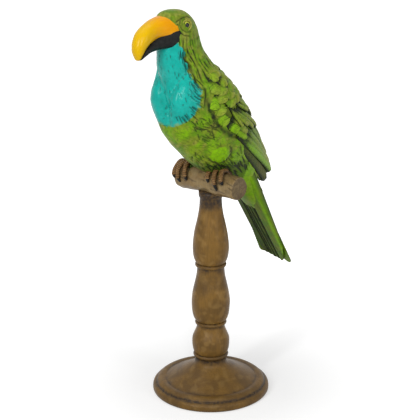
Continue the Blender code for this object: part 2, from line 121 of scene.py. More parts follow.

# Wing feathers from the lowest layer up: distance in mm and angle of the root, the same of the tip,
# half width in mm, lift of root and tip in mm, how lime the paint is, or below zero how dark the painted shade on it
# is
WING_FEATHERS = (
    (84, -6, 118, 6, 7.0, -6.5, -6.0, -1.0),
    (92, 0, 141.0, 24, 4.4, -3.6, -2.6, 0.0),
    (48, -19, 142.0, 40, 6.4, -2.0, -0.8, -0.72),
    (38, 56, 78, 74, 4.6, 0.2, 1.3, 0.0), (40, 44, 92, 72, 4.6, 0.2, 1.3, 0.0),
    (42, 31, 106, 68, 4.8, 0.2, 1.4, 0.1), (44, 18, 120, 64, 4.8, 0.2, 1.4, 0.1),
    (46, 6, 131, 59, 4.8, 0.3, 1.4, 0.2), (49, -3, 138, 53, 4.8, 0.4, 1.5, 0.4),
    (52, -9, 143, 47, 4.8, 0.5, 1.6, 1.0),
    (28, -8, 57, 8, 4.6, 0.5, 1.7, 0.3), (40, -14, 61, 3, 3.8, 0.7, 2.0, 0.9),
    (29, -20, 45, -8, 3.9, 0.9, 2.4, 1.0),
    (14, 63, 54, 75, 4.8, 0.7, 2.3, 0.0), (16, 51, 58, 66, 4.6, 0.7, 2.4, 0.1),
    (18, 39, 60, 57, 4.4, 0.8, 2.5, 0.1), (25, 12, 71, 48, 3.8, 0.8, 2.5, 0.1),
    (23, 5, 62, 30, 3.2, 0.9, 2.6, 0.2), (20, -1, 52, 13, 3.2, 1.0, 2.7, 0.3),
    (17, -2, 45, 2, 2.6, 1.1, 2.7, 0.3),
    (19, 27, 46, 43, 3.4, 1.4, 3.0, 0.2), (19, 16, 42, 33, 2.8, 1.5, 3.1, 0.2),
    (12, -31, 29, -20, 5.0, 0.8, 2.7, 0.8),
    (2, -21, 17, -21, 6.2, 0.9, 2.9, 0.5),
    (7, 74, 22, 75, 7.2, 0.8, 2.7, 0.0), (7, 58, 22, 60, 7.2, 0.8, 2.7, 0.1),
    (7, 42, 21, 44, 7.0, 0.8, 2.8, 0.2), (6, 25, 21, 26, 7.0, 0.9, 2.9, 0.2),
    (4, 8, 18, 8, 7.4, 0.9, 2.9, 0.4),
    (-4, 68, 11, 69, 7.2, 0.8, 2.9, 0.1), (-4, 50, 10, 52, 7.2, 0.9, 2.9, 0.1),
    (-4, 33, 10, 34, 7.2, 0.9, 3.0, 0.3), (-3, 17, 12, 16, 7.4, 1.0, 3.1, 0.2),
    (-6, -3, 8, -6, 7.6, 1.0, 3.1, 0.4),
    (-9, -17, 8, -30, 5.4, 1.2, 3.5, 1.0),
    (-15, 58, -1, 60, 7.0, 0.8, 2.8, 0.1), (-15, 40, -1, 41, 7.0, 0.9, 2.9, 0.1),
    (-13, 22, -1, 21, 6.8, 1.0, 3.0, 0.3), (-12, 6, 2, 2, 7.2, 1.1, 3.3, 0.3),
    (-19, 0, -4, -13, 6.6, 1.0, 3.4, 0.5),
    (-25, 48, -12, 48, 6.4, -1.8, 2.4, 0.1), (-25, 30, -11, 30, 6.6, -1.8, 2.6, 0.2),
    (-25, 10, -12, 12, 7.2, -2.0, 2.8, 0.5),
)

# Beak outline seen from the side: y, height over the log
CULMEN = (
    (-0.0500, 0.1585), (-0.0620, 0.1625), (-0.0760, 0.1608), (-0.0890, 0.1560),
    (-0.0978, 0.1490), (-0.1021, 0.1400), (-0.1024, 0.1320), (-0.0998, 0.1250),
)
GAPE = (
    (-0.0440, 0.1462), (-0.0550, 0.1458), (-0.0680, 0.1450), (-0.0770, 0.1430),
    (-0.0850, 0.1385), (-0.0905, 0.1340), (-0.0940, 0.1290), (-0.0970, 0.1240),
)
CHIN = (
    (-0.0440, 0.1308), (-0.0550, 0.1304), (-0.0680, 0.1316), (-0.0770, 0.1310),
    (-0.0850, 0.1295), (-0.0900, 0.1275), (-0.0930, 0.1258), (-0.0955, 0.1240),
)

# Bib: distance down the trunk in mm, how far it reaches to each side of the breast's middle in degrees
BIB = ((0, 50), (26, 52), (30, 57), (34, 67), (38, 70), (43, 64), (48, 68), (54, 60), (60, 62), (66, 67), (71, 70),
       (77, 63), (83, 54), (87, 43), (88.5, 26), (90, 0), (300, 0))

# Folds of the breast as (distance in mm, angle in degrees) pairs, shaped but hardly painted
BREAST_FOLDS = (
    ((52, -27), (55, -37), (57, -51), (60, -62), (63, -69), (66, -73), (74, -83), (86, -86)),
    ((54, -128), (57, -112), (60, -103), (64, -93), (71, -92), (78, -88)),
)

# Lines cut in the head, as (distance in mm, angle in degrees) pairs, then width and depth in mm
TRUNK_LINES = (
    (((9, -30), (7.4, -16), (6.4, -3), (6.4, 14), (7.5, 30)), 0.6, 0.75),
    (((11, -26), (14, -29), (18, -26), (22, -15), (24, 4)), 0.75, 0.9),
    (((8.2, -14), (12, -21), (16.5, -18), (19.5, -7), (20, 10)), 0.6, 0.7),
    (((13, -40), (18, -38), (24, -33), (30, -30)), 0.6, 0.8),
)

# Toes as points in mm: x, y, z of the root, knuckle, end of the toe and claw tip
TOES = (
    ((-34, 3, 240), (-37, -4.5, 242), (-38, -11.5, 236), (-38, -13.9, 230), (-36.5, -13.4, 226)),
    ((-29, 3, 240), (-31.5, -6, 242), (-32.5, -13, 236.5), (-31.8, -14.6, 228), (-30, -13, 223)),
    ((-25, 3, 240), (-26, -6.5, 242), (-24, -12.5, 236.5), (-22.3, -14, 231), (-20.8, -13, 226.5)),
    ((8, 2, 241), (6, -5, 241.8), (6.2, -10.5, 238.4), (7.6, -12.8, 234.5), (8.2, -12.8, 230)),
    ((14, 2, 241), (13.2, -6, 241.8), (15.8, -12, 237), (17.8, -14.2, 231.5), (20, -12.6, 223.6)),
    ((19, 2, 241), (20.2, -5.4, 241.8), (23.6, -10.8, 238), (25.8, -12.8, 234.8), (27.4, -12.6, 231)),
    ((-27, -1, 239), (-27, 8, 238), (-27, 13.6, 232), (-27, 13.6, 226), (-27, 11.6, 221)),
    ((15, -1, 239), (15, 8, 238), (15, 13.6, 232), (15, 13.6, 226), (15, 11.6, 221)),
)
# Where the two legs stand along the log
LEGS = (0.0150, -0.0270)

# Skin of the trunk: rows this many mm apart down to the rump, then a few down to its hidden end
ROW_STEP = 0.64
RUMP = 172.0
HIDDEN_ROWS = 44
# Columns: start, end and count in degrees of the carved sides and front, and of the back under the wings
CARVED_COLUMNS = (-208.0, 28.0, 244)
BACK_COLUMNS = (28.0, 152.0, 56)
# Fringe at the breast's lower edge: row in mm, column in degrees, slant of the strokes
FRINGE = ((78, -62, 0.1), (80, -56, 0.15), (81, -50, 0.2), (82, -44, 0.2), (80, -40, 0.3), (77, -41, 0.3),
          (75, -36, 0.4), (72, -31, 0.5), (69, -33, 0.5), (67, -28, 0.5), (64, -28, 0.5), (62, -30, 0.5),
          (60, -27, 0.5))
# Edge of the brow, and the groove along the wing's lower edge, as (row in mm, column in degrees) points
BROW = ((5.0, -22), (4.6, -2), (5.2, 20))
FLANK = ((80, -20), (96, -21), (112, -22), (130, -15), (150, 2), (172, 24))

# Breast lobes and the hollow between them: place from the middle, half width, height over the log, half height, push
BREAST_FORMS = ((0.0170, 0.0105, 0.0870, 0.0190, 0.0050), (0.0, 0.0065, 0.0740, 0.0170, -0.0060))

# Wing plate under the feathers, and how many metres a degree is across the wing and the mantle
WING_OVER_TRUNK = 0.0012
WING_THICKNESS = 0.0060
WING_DEGREE = 0.00060
MANTLE_DEGREE = 0.00052
# Feathers longer than this, in mm, have fine barbs and a dark edge; shorter ones are scales
LONG_FEATHER = 22.0

# Tail: root's y and height over the log, start above the root, length, half width and thickness, lean in degrees
TAIL_ROOT = (0.0490, -0.0230)
TAIL_START = -0.018
TAIL_LENGTH = 0.118
TAIL_HALF_WIDTH = 0.0190
TAIL_THICKNESS = 0.0128
TAIL_LEAN = 30.5
# Ends of the tail under its feathers: mm across, mm down from the rump
TAIL_TIPS = (
    (-19, 103), (-17, 107), (-14.5, 109), (-12, 107.5), (-9.5, 105), (-8, 108), (-5, 112.5), (-2, 114),
    (0.5, 112.8), (3, 115.4), (6.3, 117.2), (10, 115.0), (13, 109.5), (16.3, 102.5), (19, 94),
)
# Grooves of the tail's under side: place and width as shares of the half width
TAIL_GROOVES = ((-0.52, 0.05), (-0.34, 0.035), (-0.10, 0.03), (0.20, 0.055))
# Long tail feathers in mm: root and tip across, length, half width, then how lime the paint is
TAIL_FEATHERS = (
    (-15.0, -14.5, 108.5, 4.2, 0.0), (-8.0, -9.0, 104.0, 3.2, 0.1), (14.5, 13.4, 103.0, 4.0, 0.6),
    (-3.0, -2.4, 113.6, 4.0, 0.1), (6.0, 6.3, 117.0, 6.6, 0.25),
)
# Small feathers over the tail's root: mm down and mm across
RUMP_FEATHERS = ((6, -10), (6, 10), (4, 0), (-6, -6), (-6, 6), (-12, 0))

BEAK_HALF_WIDTH = 0.0098
EYE_PLACE = (0.0124, -0.0480, 0.1527)
EYE_TURN = 14.0
EYE_RADIUS = 0.0046
# Rings of the eyelid: radius, thickness of the ring, how far it stands out
LID_RINGS = ((0.0047, 0.00085, 0.0026), (0.0062, 0.00075, 0.0008))
# Toes and claws: radius, and the distance between two ridges
TOE_RADIUS = 0.00262
TOE_RIDGES = 0.0017
CLAW_RADIUS = 0.00215

# Log: ends on the bird's left and right, how long the rounding of the right end is, and how thick it is along x
LOG_NEAR_END = 0.0385
LOG_FAR_END = -0.0455
LOG_ROUNDING = 0.0110
LOG_PLACES = (-0.0455, -0.0345, -0.0150, 0.0080, 0.0265, 0.0379, 0.0385)
LOG_SHARES = (1.04, 1.04, 1.03, 1.0, 0.97, 0.95, 0.915)
LOG_DROOP = 0.0014

# Post from the top down: radius, height and wash of the collar
COLLAR = ((0.0, 0.2180, 1), (0.0123, 0.2180, 1), (0.0123, 0.2132, 1), (0.0120, 0.2118, 1), (0.0113, 0.2102, 1),
          (0.0112, 0.2090, 1))
# Each ring's radius and height, the radius of the swelling above it, and where between ring and top it is widest
SWELLINGS = ((0.0162, 0.1389, 0.0186, 0.24), (0.0164, 0.0754, 0.0199, 0.34), (0.0183, 0.0395, 0.0194, 0.42))
# Half the thickness of a ring, and how deep the wash-filled groove is on each side of it
RING_TUBE = 0.0021
RING_GROOVE = 0.0002
# Base: radius, height and wash down the neck over the cone
CONE_NECK = ((0.0165, 0.0350, 0.9), (0.0164, 0.0325, 0.5), (0.0170, 0.0300, 0.2), (0.0185, 0.0282, 0.1))
# Radius and height of the cone's top and of its foot
CONE = (0.0185, 0.0282, 0.0465, 0.0130)
# Radius, height and wash over the moulding, then down the edge with the inset from the base's radius
MOULDING = (
    (0.0472, 0.0127, 0.75), (0.0485, 0.0128, 0.35), (0.0505, 0.0131, 0.0), (0.0528, 0.0129, 0.0),
    (0.0545, 0.0121, 0.1), (0.0556, 0.0113, 0.3), (0.0564, 0.0104, 0.7), (0.0566, 0.0096, 1.0),
    (0.0566, 0.0090, 1.0), (0.0571, 0.0086, 1.0), (0.0584, 0.0083, 0.5), (0.0596, 0.0076, 0.1), (0.0604, 0.0066, 0.0),
)
BASE_EDGE = ((0.0002, 0.0052, 0.0), (0.0, 0.0034, 0.05), (0.0001, 0.0018, 0.15), (0.0007, 0.0007, 0.4),
             (0.0018, 0.0, 0.7), (0.006, 0.0, 0.7))

# Softboxes: name, place, width and height in metres, and watts
LAMPS = (
    ("key_softbox", (0.22, -1.46, 0.84), (0.18, 0.60), 9.0),
    ("front_softbox", (1.06, -1.00, 0.86), (0.17, 0.42), 6.0),
    ("side_softbox", (1.42, 0.06, 0.50), (0.22, 0.70), 3.5),
    ("top_softbox", (-0.15, -0.25, 1.60), (1.00, 1.00), 6.0),
)
LAMP_TARGET = (0.0, -0.01, 0.26)
FLOOR_HALF = 6.0
# The figurine's shadow shows on the floor inside the first distance, and is gone at the second
SHADOW_REACH = (0.08, 0.40)

# Turns points of the bird's left side into those of its right side
MIRROR = np.array((-1.0, 1.0, 1.0))
# Millimetres that a degree is across the trunk, for distances from a path
TRUNK_DEGREE = 0.6


# Small mathematical helpers

def smooth(low, high, value):
    """0 below low, 1 above high and an even slope between."""
    t = np.clip((value - low) / (high - low), 0.0, 1.0)
    return t * t * (3.0 - 2.0 * t)


def along(table, t):
    """Points at each t, from 0 to 1, on a smooth curve through the rows of a table."""
    rows = np.asarray(table, dtype=float)
    place = np.clip(np.atleast_1d(t), 0.0, 1.0) * (len(rows) - 1)
    i = np.minimum(place.astype(int), len(rows) - 2)
    f = (place - i)[:, None]
    before, start = rows[np.maximum(i - 1, 0)], rows[i]
    end, after = rows[i + 1], rows[np.minimum(i + 2, len(rows) - 1)]
    return (start * (2 * f**3 - 3 * f**2 + 1) + (end - before) / 2 * (f**3 - 2 * f**2 + f)
            + end * (3 * f**2 - 2 * f**3) + (after - start) / 2 * (f**3 - f**2))


def ripple(points, size, seed):
    """Smooth irregular value from about -1 to 1 at each point; size is the length of its waves in metres."""
    rng = np.random.default_rng(seed)
    total = np.zeros(points.shape[:-1])
    for _ in range(6):
        heading, bend = rng.normal(size=(2, 3))
        heading /= np.linalg.norm(heading)
        bend /= np.linalg.norm(bend)
        turn = 2 * math.pi / (size * rng.uniform(0.7, 1.5))
        total += np.sin(points @ heading * turn + rng.uniform(0, 6.3) + 1.4 * np.sin(points @ bend * turn * 0.7))
    return total / 3.0


def outward(grid):
    """Unit normals of a grid of points whose columns close into a ring, pointing away from its middle."""
    down = np.gradient(grid, axis=0)
    across = (np.roll(grid, -1, axis=1) - np.roll(grid, 1, axis=1)) / 2
    normal = np.cross(across, down)
    normal = normal / np.maximum(np.linalg.norm(normal, axis=-1, keepdims=True), 1e-12)
    row, column = grid.shape[0] // 2, grid.shape[1] // 4
    inward = normal[row, column] @ (grid[row, column] - grid[row].mean(axis=0)) < 0
    return -normal if inward else normal


class Carving:
    """Grids of points gathered into one mesh, with the paint values of every point."""

    # wash is dark antique wash in the cuts, and in places painted shade where the figurine hides the light
    VALUES = ("wash", "bib", "lime", "rub")

    def __init__(self):
        self.points = []
        self.faces = []
        self.values = {name: [] for name in self.VALUES}
        self.count = 0

    def add(self, grid, loop=False, caps=True, **values):
        """Adds a grid whose columns close into a ring; loop closes the rows too, caps fills the end rows."""
        rows, columns = grid.shape[:2]
        index = np.arange(rows * columns).reshape(rows, columns) + self.count
        index = np.concatenate([index, index[:, :1]], axis=1)
        if loop:
            index = np.concatenate([index, index[:1]], axis=0)
        quads = np.stack([index[:-1, :-1], index[:-1, 1:], index[1:, 1:], index[1:, :-1]], axis=-1)
        self.faces += quads.reshape(-1, 4).tolist()
        self.points.append(grid.reshape(-1, 3))
        painted = {name: np.broadcast_to(values.get(name, 0.0), (rows, columns)) for name in self.VALUES}
        for name, value in painted.items():
            self.values[name].append(value.reshape(-1))
        self.count += rows * columns
        if caps and not loop:
            for row in (0, rows - 1):
                self.points.append(grid[row].mean(axis=0)[None])
                for name, value in painted.items():
                    self.values[name].append(np.mean(value[row], keepdims=True))
                edge = index[row]
                self.faces += [[self.count, int(a), int(b)] for a, b in zip(edge[:-1], edge[1:])]
                self.count += 1

    def finish(self, name, material):
        """Makes the object and rides it on the casting."""
        mesh = bpy.data.meshes.new(name)
        points = np.concatenate(self.points)
        mesh.from_pydata(points.tolist(), [], self.faces)
        for key, parts in self.values.items():
            layer = mesh.attributes.new(key, 'FLOAT', 'POINT')
            layer.data.foreach_set("value", np.concatenate(parts).astype(np.float32))
        shape = bmesh.new()
        shape.from_mesh(mesh)
        bmesh.ops.recalc_face_normals(shape, faces=shape.faces)
        shape.to_mesh(mesh)
        shape.free()
        mesh.shade_smooth()
        mesh.materials.append(material)
        piece = bpy.data.objects.new(name, mesh)
        bpy.context.scene.collection.objects.link(piece)
        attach(piece, BODY)
        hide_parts(NODE)


# Colours and materials

def linear(code):
    """Linear red, green and blue of an sRGB hex colour."""
    parts = [int(code[i:i + 2], 16) / 255.0 for i in (1, 3, 5)]
    return tuple(c / 12.92 if c <= 0.04045 else ((c + 0.055) / 1.055) ** 2.4 for c in parts)


def node(tree, kind, inputs=None, **settings):
    """Adds a node, with values or linked sockets for its inputs, and returns it."""
    made = tree.nodes.new(kind)
    for key, value in settings.items():
        setattr(made, key, value)
    for key, value in (inputs or {}).items():
        socket = made.inputs[key]
        if isinstance(value, bpy.types.NodeSocket):
            tree.links.new(value, socket)
        else:
            socket.default_value = (*value[:3], 1.0) if socket.type == 'RGBA' else value
    return made


def blank_material(name):
    """A material with an empty node tree, the tree, and the place on the piece in metres for its patterns."""
    material = bpy.data.materials.new(name)
    material.use_nodes = True
    tree = material.node_tree
    tree.nodes.clear()
    return material, tree, node(tree, "ShaderNodeTexCoord").outputs["Object"]


def mottle(tree, place, size_mm, low, high, amount=1.0, detail=3.0):
    """Soft patches of about that size in mm, from 0 where the noise is under low to amount where it is over high."""
    noise = node(tree, "ShaderNodeTexNoise", {"Vector": place, "Scale": 1.0 / (size_mm * MM), "Detail": detail})
    return node(tree, "ShaderNodeMapRange",
                {"Value": noise.outputs["Fac"], "From Min": low, "From Max": high, "To Max": amount},
                interpolation_type='SMOOTHSTEP').outputs["Result"]


def brush_marks(tree, place, lengths_mm, low, high, detail):
    """Streaks from 0 to 1, as long in mm along x, y and z as lengths_mm says."""
    stretched = node(tree, "ShaderNodeVectorMath", {0: place, 1: tuple(1.0 / (size * MM) for size in lengths_mm)},
                     operation='MULTIPLY').outputs["Vector"]
    noise = node(tree, "ShaderNodeTexNoise", {"Vector": stretched, "Scale": 1.0, "Detail": detail})
    return node(tree, "ShaderNodeMapRange",
                {"Value": noise.outputs["Fac"], "From Min": low, "From Max": high}).outputs["Result"]


def varnished(tree, colour, roughness, height, depth_mm, sheen=0.17):
    """Satin-varnished acrylic paint on cast polyester resin: a thin, weakly reflecting film."""
    bump = node(tree, "ShaderNodeBump", {"Height": height, "Strength": 1.0, "Distance": depth_mm * MM})
    shader = node(tree, "ShaderNodeBsdfPrincipled", {
        "Base Color": colour, "Roughness": roughness, "Normal": bump.outputs["Normal"],
        "IOR": 1.5, "Specular IOR Level": sheen,
    })
    node(tree, "ShaderNodeOutputMaterial", {"Surface": shader.outputs["BSDF"]})


def plumage_paint(colours):
    """Acrylic greens and turquoise brushed on resin, dark antique wash left in the cuts, satin varnish; the same dark
    also paints shade under the body, inside the wings and under the tail.

    The eye sees matt green scales with dark outlines, and a smoother bib that catches the light.
    """
    material, tree, place = blank_material("painted_plumage")
    value = {name: node(tree, "ShaderNodeAttribute", attribute_name=name).outputs["Fac"] for name in Carving.VALUES}
    patch = mottle(tree, place, 11.0, 0.38, 0.62)
    dirt = mottle(tree, place, 2.6, 0.30, 0.70, 0.30)
    speck = mottle(tree, place, 0.9, 0.60, 0.72, 0.22)
    # The wash brings the dark of the cuts and also painted shade, under the body, inside the wings, along the wing's
    # lower edge and under the tail
    cut = node(tree, "ShaderNodeMath", {0: value["wash"], 1: speck}, operation='MAXIMUM').outputs[0]
    green = colours.green
    for cover, colour in ((patch, colours.olive), (value["lime"], colours.lime), (value["rub"], colours.scale_edge)):
        green = node(tree, "ShaderNodeMix", {0: cover, 6: green, 7: colour}, data_type='RGBA').outputs[2]
    teal = node(tree, "ShaderNodeMix", {0: patch, 6: colours.turquoise, 7: linear("#10B8AA")}, data_type='RGBA')
    # Each coat has one colour on the green and another on the bib
    paint = None
    for cover, on_green, on_bib in ((1.0, green, teal.outputs[2]), (dirt, linear("#4A5C0C"), linear("#0C8A80")),
                                    (cut, colours.wash, linear("#0B3A33"))):
        coat = node(tree, "ShaderNodeMix", {0: value["bib"], 6: on_green, 7: on_bib}, data_type='RGBA').outputs[2]
        if paint is None:
            paint = coat
        else:
            paint = node(tree, "ShaderNodeMix", {0: cover, 6: paint, 7: coat}, data_type='RGBA').outputs[2]
    # The varnish is dull on the feathers, glossier on the bib and dullest in the cuts
    satin = node(tree, "ShaderNodeMapRange", {"Value": value["bib"], "To Min": 0.50, "To Max": 0.20})
    rougher = node(tree, "ShaderNodeMath", {0: satin.outputs["Result"], 1: cut}, operation='MAXIMUM').outputs[0]
    rougher = node(tree, "ShaderNodeMath", {0: rougher, 1: 0.62}, operation='MINIMUM').outputs[0]
    varnished(tree, paint, rougher, mottle(tree, place, 1.1, 0.0, 1.0, detail=4.0), depth_mm=0.10)
    return material


def beak_paint(colours):
    """Orange and yellow enamel-like acrylic, brushed along the beak, under satin varnish.

    The eye sees a smooth, warm beak with faint streaks, yellow towards the tip and paler on the ridge, where a sheen
    is painted.
    """
    material, tree, place = blank_material("painted_upper_beak")
    axes = node(tree, "ShaderNodeSeparateXYZ", {"Vector": place})
    face = node(tree, "ShaderNodeMapRange", {"Value": axes.outputs["Y"], "From Min": -0.094, "From Max": -0.066},
                interpolation_type='SMOOTHSTEP').outputs["Result"]
    # Painted sheen: the top of the ridge is paler, as light from above would make it
    ridge = node(tree, "ShaderNodeMapRange",
                 {"Value": axes.outputs["Z"], "From Min": 0.3975, "From Max": 0.4035, "To Max": 0.55},
                 interpolation_type='SMOOTHSTEP').outputs["Result"]
    streak = brush_marks(tree, place, (1.4286, 7.6923, 2.3810), 0.35, 0.68, 3.0)
    faint = node(tree, "ShaderNodeMath", {0: streak, 1: 0.55}, operation='MULTIPLY').outputs[0]
    faint = node(tree, "ShaderNodeMath", {0: faint, 1: face}, operation='MULTIPLY').outputs[0]
    wash = node(tree, "ShaderNodeAttribute", attribute_name="wash").outputs["Fac"]
    paint = colours.beak_tip
    for cover, colour in ((face, colours.beak), (faint, linear("#EC9A00")), (ridge, linear("#F3A544")),
                          (wash, linear("#2A1C08"))):
        paint = node(tree, "ShaderNodeMix", {0: cover, 6: paint, 7: colour}, data_type='RGBA').outputs[2]
    varnished(tree, paint, roughness=0.26, height=streak, depth_mm=0.05, sheen=0.15)
    return material


def plain_paint(name, colour, spot, size_mm, roughness, dark="#15100A"):
    """Toes, claws and lower beak: one brushed acrylic with patches of a second, dark wash and satin varnish.

    The eye sees one dull colour that is darker in the creases, and on the toes darker on one side as painted shade.
    """
    material, tree, place = blank_material(name)
    patch = mottle(tree, place, size_mm, 0.35, 0.65)
    wash = node(tree, "ShaderNodeAttribute", attribute_name="wash").outputs["Fac"]
    paint = linear(colour)
    for cover, coat in ((patch, linear(spot)), (wash, linear(dark))):
        paint = node(tree, "ShaderNodeMix", {0: cover, 6: paint, 7: coat}, data_type='RGBA').outputs[2]
    varnished(tree, paint, roughness, mottle(tree, place, 0.8, 0.0, 1.0), depth_mm=0.06, sheen=0.14)
    return material


def wood_paint(name, light, deep, colours):
    """Resin painted as old turned wood: thin brown glaze dragged along the grain over a lighter coat.

    The eye sees a dull brown wood with upright grain, darker in all its creases, and a painted shadow of the feet on
    the log.
    """
    material, tree, place = blank_material(name)
    grain = brush_marks(tree, place, (1.5385, 1.5385, 22.2222), 0.32, 0.68, 4.0)
    patch = mottle(tree, place, 17.0, 0.36, 0.64)
    glaze = node(tree, "ShaderNodeMath", {0: grain, 1: 0.42}, operation='MULTIPLY').outputs[0]
    rub = node(tree, "ShaderNodeAttribute", attribute_name="rub").outputs["Fac"]
    wash = node(tree, "ShaderNodeAttribute", attribute_name="wash").outputs["Fac"]
    # Dark glaze in the creases, and the painted shadow of the feet on the log's top
    ragged = node(tree, "ShaderNodeMath", {0: wash, 1: mottle(tree, place, 3.0, 0.1, 0.6)}, operation='MULTIPLY')
    solid = node(tree, "ShaderNodeMath", {0: wash, 1: 0.65}, operation='MULTIPLY')
    crease_wash_and_shadow = node(tree, "ShaderNodeMath", {0: ragged.outputs[0], 1: solid.outputs[0]}, operation='MAXIMUM').outputs[0]
    fleck = mottle(tree, place, 1.0, 0.66, 0.74, 0.3)
    paint = light
    for cover, colour in ((patch, deep), (glaze, linear("#57421F")), (rub, linear("#9A7A45")),
                          (crease_wash_and_shadow, colours.wood_wash), (fleck, linear("#3A2A14"))):
        paint = node(tree, "ShaderNodeMix", {0: cover, 6: paint, 7: colour}, data_type='RGBA').outputs[2]
    varnished(tree, paint, roughness=0.40, height=grain, depth_mm=0.06)
    return material


def eye_paint():
    """Acrylic under gloss varnish: black pupil, yellow-green iris and dark rim, by distance from the middle.

    The gloss gives it the small sharp glint of a wet eye.
    """
    material, tree, place = blank_material("painted_eye")
    ring = node(tree, "ShaderNodeAttribute", attribute_name="rub").outputs["Fac"]
    iris = node(tree, "ShaderNodeMapRange", {"Value": ring, "From Min": 0.46, "From Max": 0.52}).outputs["Result"]
    rim = node(tree, "ShaderNodeMapRange", {"Value": ring, "From Min": 0.74, "From Max": 0.82}).outputs["Result"]
    yellow = node(tree, "ShaderNodeMix", {0: mottle(tree, place, 1.2, 0.3, 0.7), 6: linear("#CCCE48"),
                                          7: linear("#A4AC34")}, data_type='RGBA').outputs[2]
    paint = linear("#060606")
    for cover, colour in ((iris, yellow), (rim, linear("#20260C"))):
        paint = node(tree, "ShaderNodeMix", {0: cover, 6: paint, 7: colour}, data_type='RGBA').outputs[2]
    varnished(tree, paint, roughness=0.10, height=ring, depth_mm=0.0, sheen=0.30)
    return material


# Shapes of the bird

def trunk_sections(t):
    """Each column of the trunk's table at every t, as a column of its own."""
    return [column[:, None] for column in along(TRUNK, t).T]


def trunk_surface(t, angle):
    """Grid of trunk points: t from crown to rump, angle 0 is the bird's left and 90 degrees its back."""
    y, height, lean, half_width, front, back = trunk_sections(t)
    side, depth = np.cos(angle)[None], np.sin(angle)[None]
    lean = np.radians(lean)
    x = half_width * side
    inward = np.where(depth > 0, back, front) * depth
    y = y + inward * np.cos(lean)
    z = height + inward * np.sin(lean)
    push = sum(amount * np.exp(-((np.abs(x) - place) / wide) ** 2 - ((z - level) / tall) ** 2)
               for place, wide, level, tall, amount in BREAST_FORMS)
    push = np.where(depth < 0, -depth * push, 0.0)
    x = x + push * side
    y = y - push * np.cos(lean) * -depth
    z = z - push * np.sin(lean) * -depth
    return np.stack([x + 0 * y, y, PERCH_TOP + z], axis=-1)


def trunk_distance(t):
    """Distance down the spine in mm at each t."""
    spine = along(TRUNK, t)[:, :2]
    steps = np.hypot(*np.diff(spine, axis=0).T)
    return np.concatenate([[0.0], np.cumsum(steps)]) / MM


def carve(grid, rows_at, columns_at, strokes):
    """How deep tapered gouge strokes cut each point of a grid, from 0 to 1.

    A stroke is (row, column) of its start and of its end in the units of rows_at and columns_at,
    then its width in metres and its depth from 0 to 1.
    """
    depth = np.zeros(grid.shape[:2])
    row_pad, column_pad = 4.0, 7.0
    for r0, c0, r1, c1, width, strength in strokes:
        i0, i1 = np.searchsorted(rows_at, (min(r0, r1) - row_pad, max(r0, r1) + row_pad))
        j0, j1 = np.searchsorted(columns_at, (min(c0, c1) - column_pad, max(c0, c1) + column_pad))
        if i1 - i0 < 2 or j1 - j0 < 2:
            continue
        ends = []
        for row, column in ((r0, c0), (r1, c1)):
            i = min(int(np.searchsorted(rows_at, row)), len(rows_at) - 1)
            j = min(int(np.searchsorted(columns_at, column)), len(columns_at) - 1)
            ends.append(grid[i, j])
        block = grid[i0:i1, j0:j1]
        run = ends[1] - ends[0]
        share = np.clip((block - ends[0]) @ run / max(run @ run, 1e-12), 0.0, 1.0)
        gap = np.linalg.norm(block - ends[0] - share[..., None] * run, axis=-1)
        taper = 0.35 + 0.65 * np.sin(math.pi * np.clip(share * 0.9 + 0.08, 0, 1)) ** 0.6
        cut = strength * np.exp(-(gap / (width * taper)) ** 2)
        depth[i0:i1, j0:j1] = np.maximum(depth[i0:i1, j0:j1], cut)
    return depth


def scattered(rng, count, rows, columns, length, width, strength, slant=(0.0, 0.3)):
    """Random short strokes: ranges of rows in mm and columns in degrees, length and width in mm."""
    strokes = []
    for _ in range(count):
        row, column = rng.uniform(*rows), rng.uniform(*columns)
        reach = rng.uniform(*length)
        turn = rng.normal(*slant)
        strokes.append((row, column, row + reach * math.cos(turn), column + 1.7 * reach * math.sin(turn),
                        rng.uniform(*width) * MM, rng.uniform(*strength)))
    return strokes


def mirrored_strokes(strokes):
    """The same strokes on the bird's right side."""
    return [(r0, -180.0 - c0, r1, -180.0 - c1, width, strength) for r0, c0, r1, c1, width, strength in strokes]


def trunk_strokes(rng):
    """Two lists of strokes: long locks and creases that are cut deep, and fine scratches."""
    deep, fine = [], []
    for points, width, depth in TRUNK_LINES:
        for (r0, c0), (r1, c1) in zip(points, points[1:]):
            deep.append((r0, c0, r1, c1, width * MM, depth / 1.3))
    for side in (0, 1):
        locks = scattered(rng, 26, (34, 54), (-32, -18), (4, 9), (0.4, 0.7), (0.6, 1.0), (-0.3, 0.2))
        fringe = []
        for row, column, slant in FRINGE:
            for _ in range(3):
                start, place = row + rng.normal(0, 1.6), column + rng.normal(0, 2.4)
                reach = rng.uniform(5.0, 9.0)
                fringe.append((start, place, start + reach * math.cos(slant), place + 1.7 * reach * math.sin(slant),
                               rng.uniform(0.38, 0.6) * MM, rng.uniform(0.6, 1.0)))
        vent = scattered(rng, 60, (126, 158), (-80, -30), (4, 9), (0.5, 0.9), (0.4, 1.0), (0.0, 0.25))
        vent += scattered(rng, 46, (146, 185), (-60, 10), (5, 11), (0.5, 0.8), (0.5, 1.0), (0.0, 0.15))
        flank = scattered(rng, 60, (88, 116), (-50, -18), (4, 9), (0.4, 0.75), (0.5, 1.0), (0.25, 0.3))
        scratch = scattered(rng, 420, (88, 172), (-92, -8), (1.5, 5.0), (0.28, 0.5), (0.25, 0.8), (0.35, 0.55))
        scratch += scattered(rng, 70, (6, 26), (-40, 95), (1.5, 4.0), (0.25, 0.4), (0.2, 0.5), (0.2, 0.6))
        dashes = scattered(rng, 46, (34, 84), (-90, -26), (0.8, 2.8), (0.30, 0.5), (0.6, 1.3), (0.0, 0.35))
        cuts, scratches = locks + fringe + vent + flank, scratch + dashes
        deep += mirrored_strokes(cuts) if side else cuts
        fine += mirrored_strokes(scratches) if side else scratches
    return deep, fine


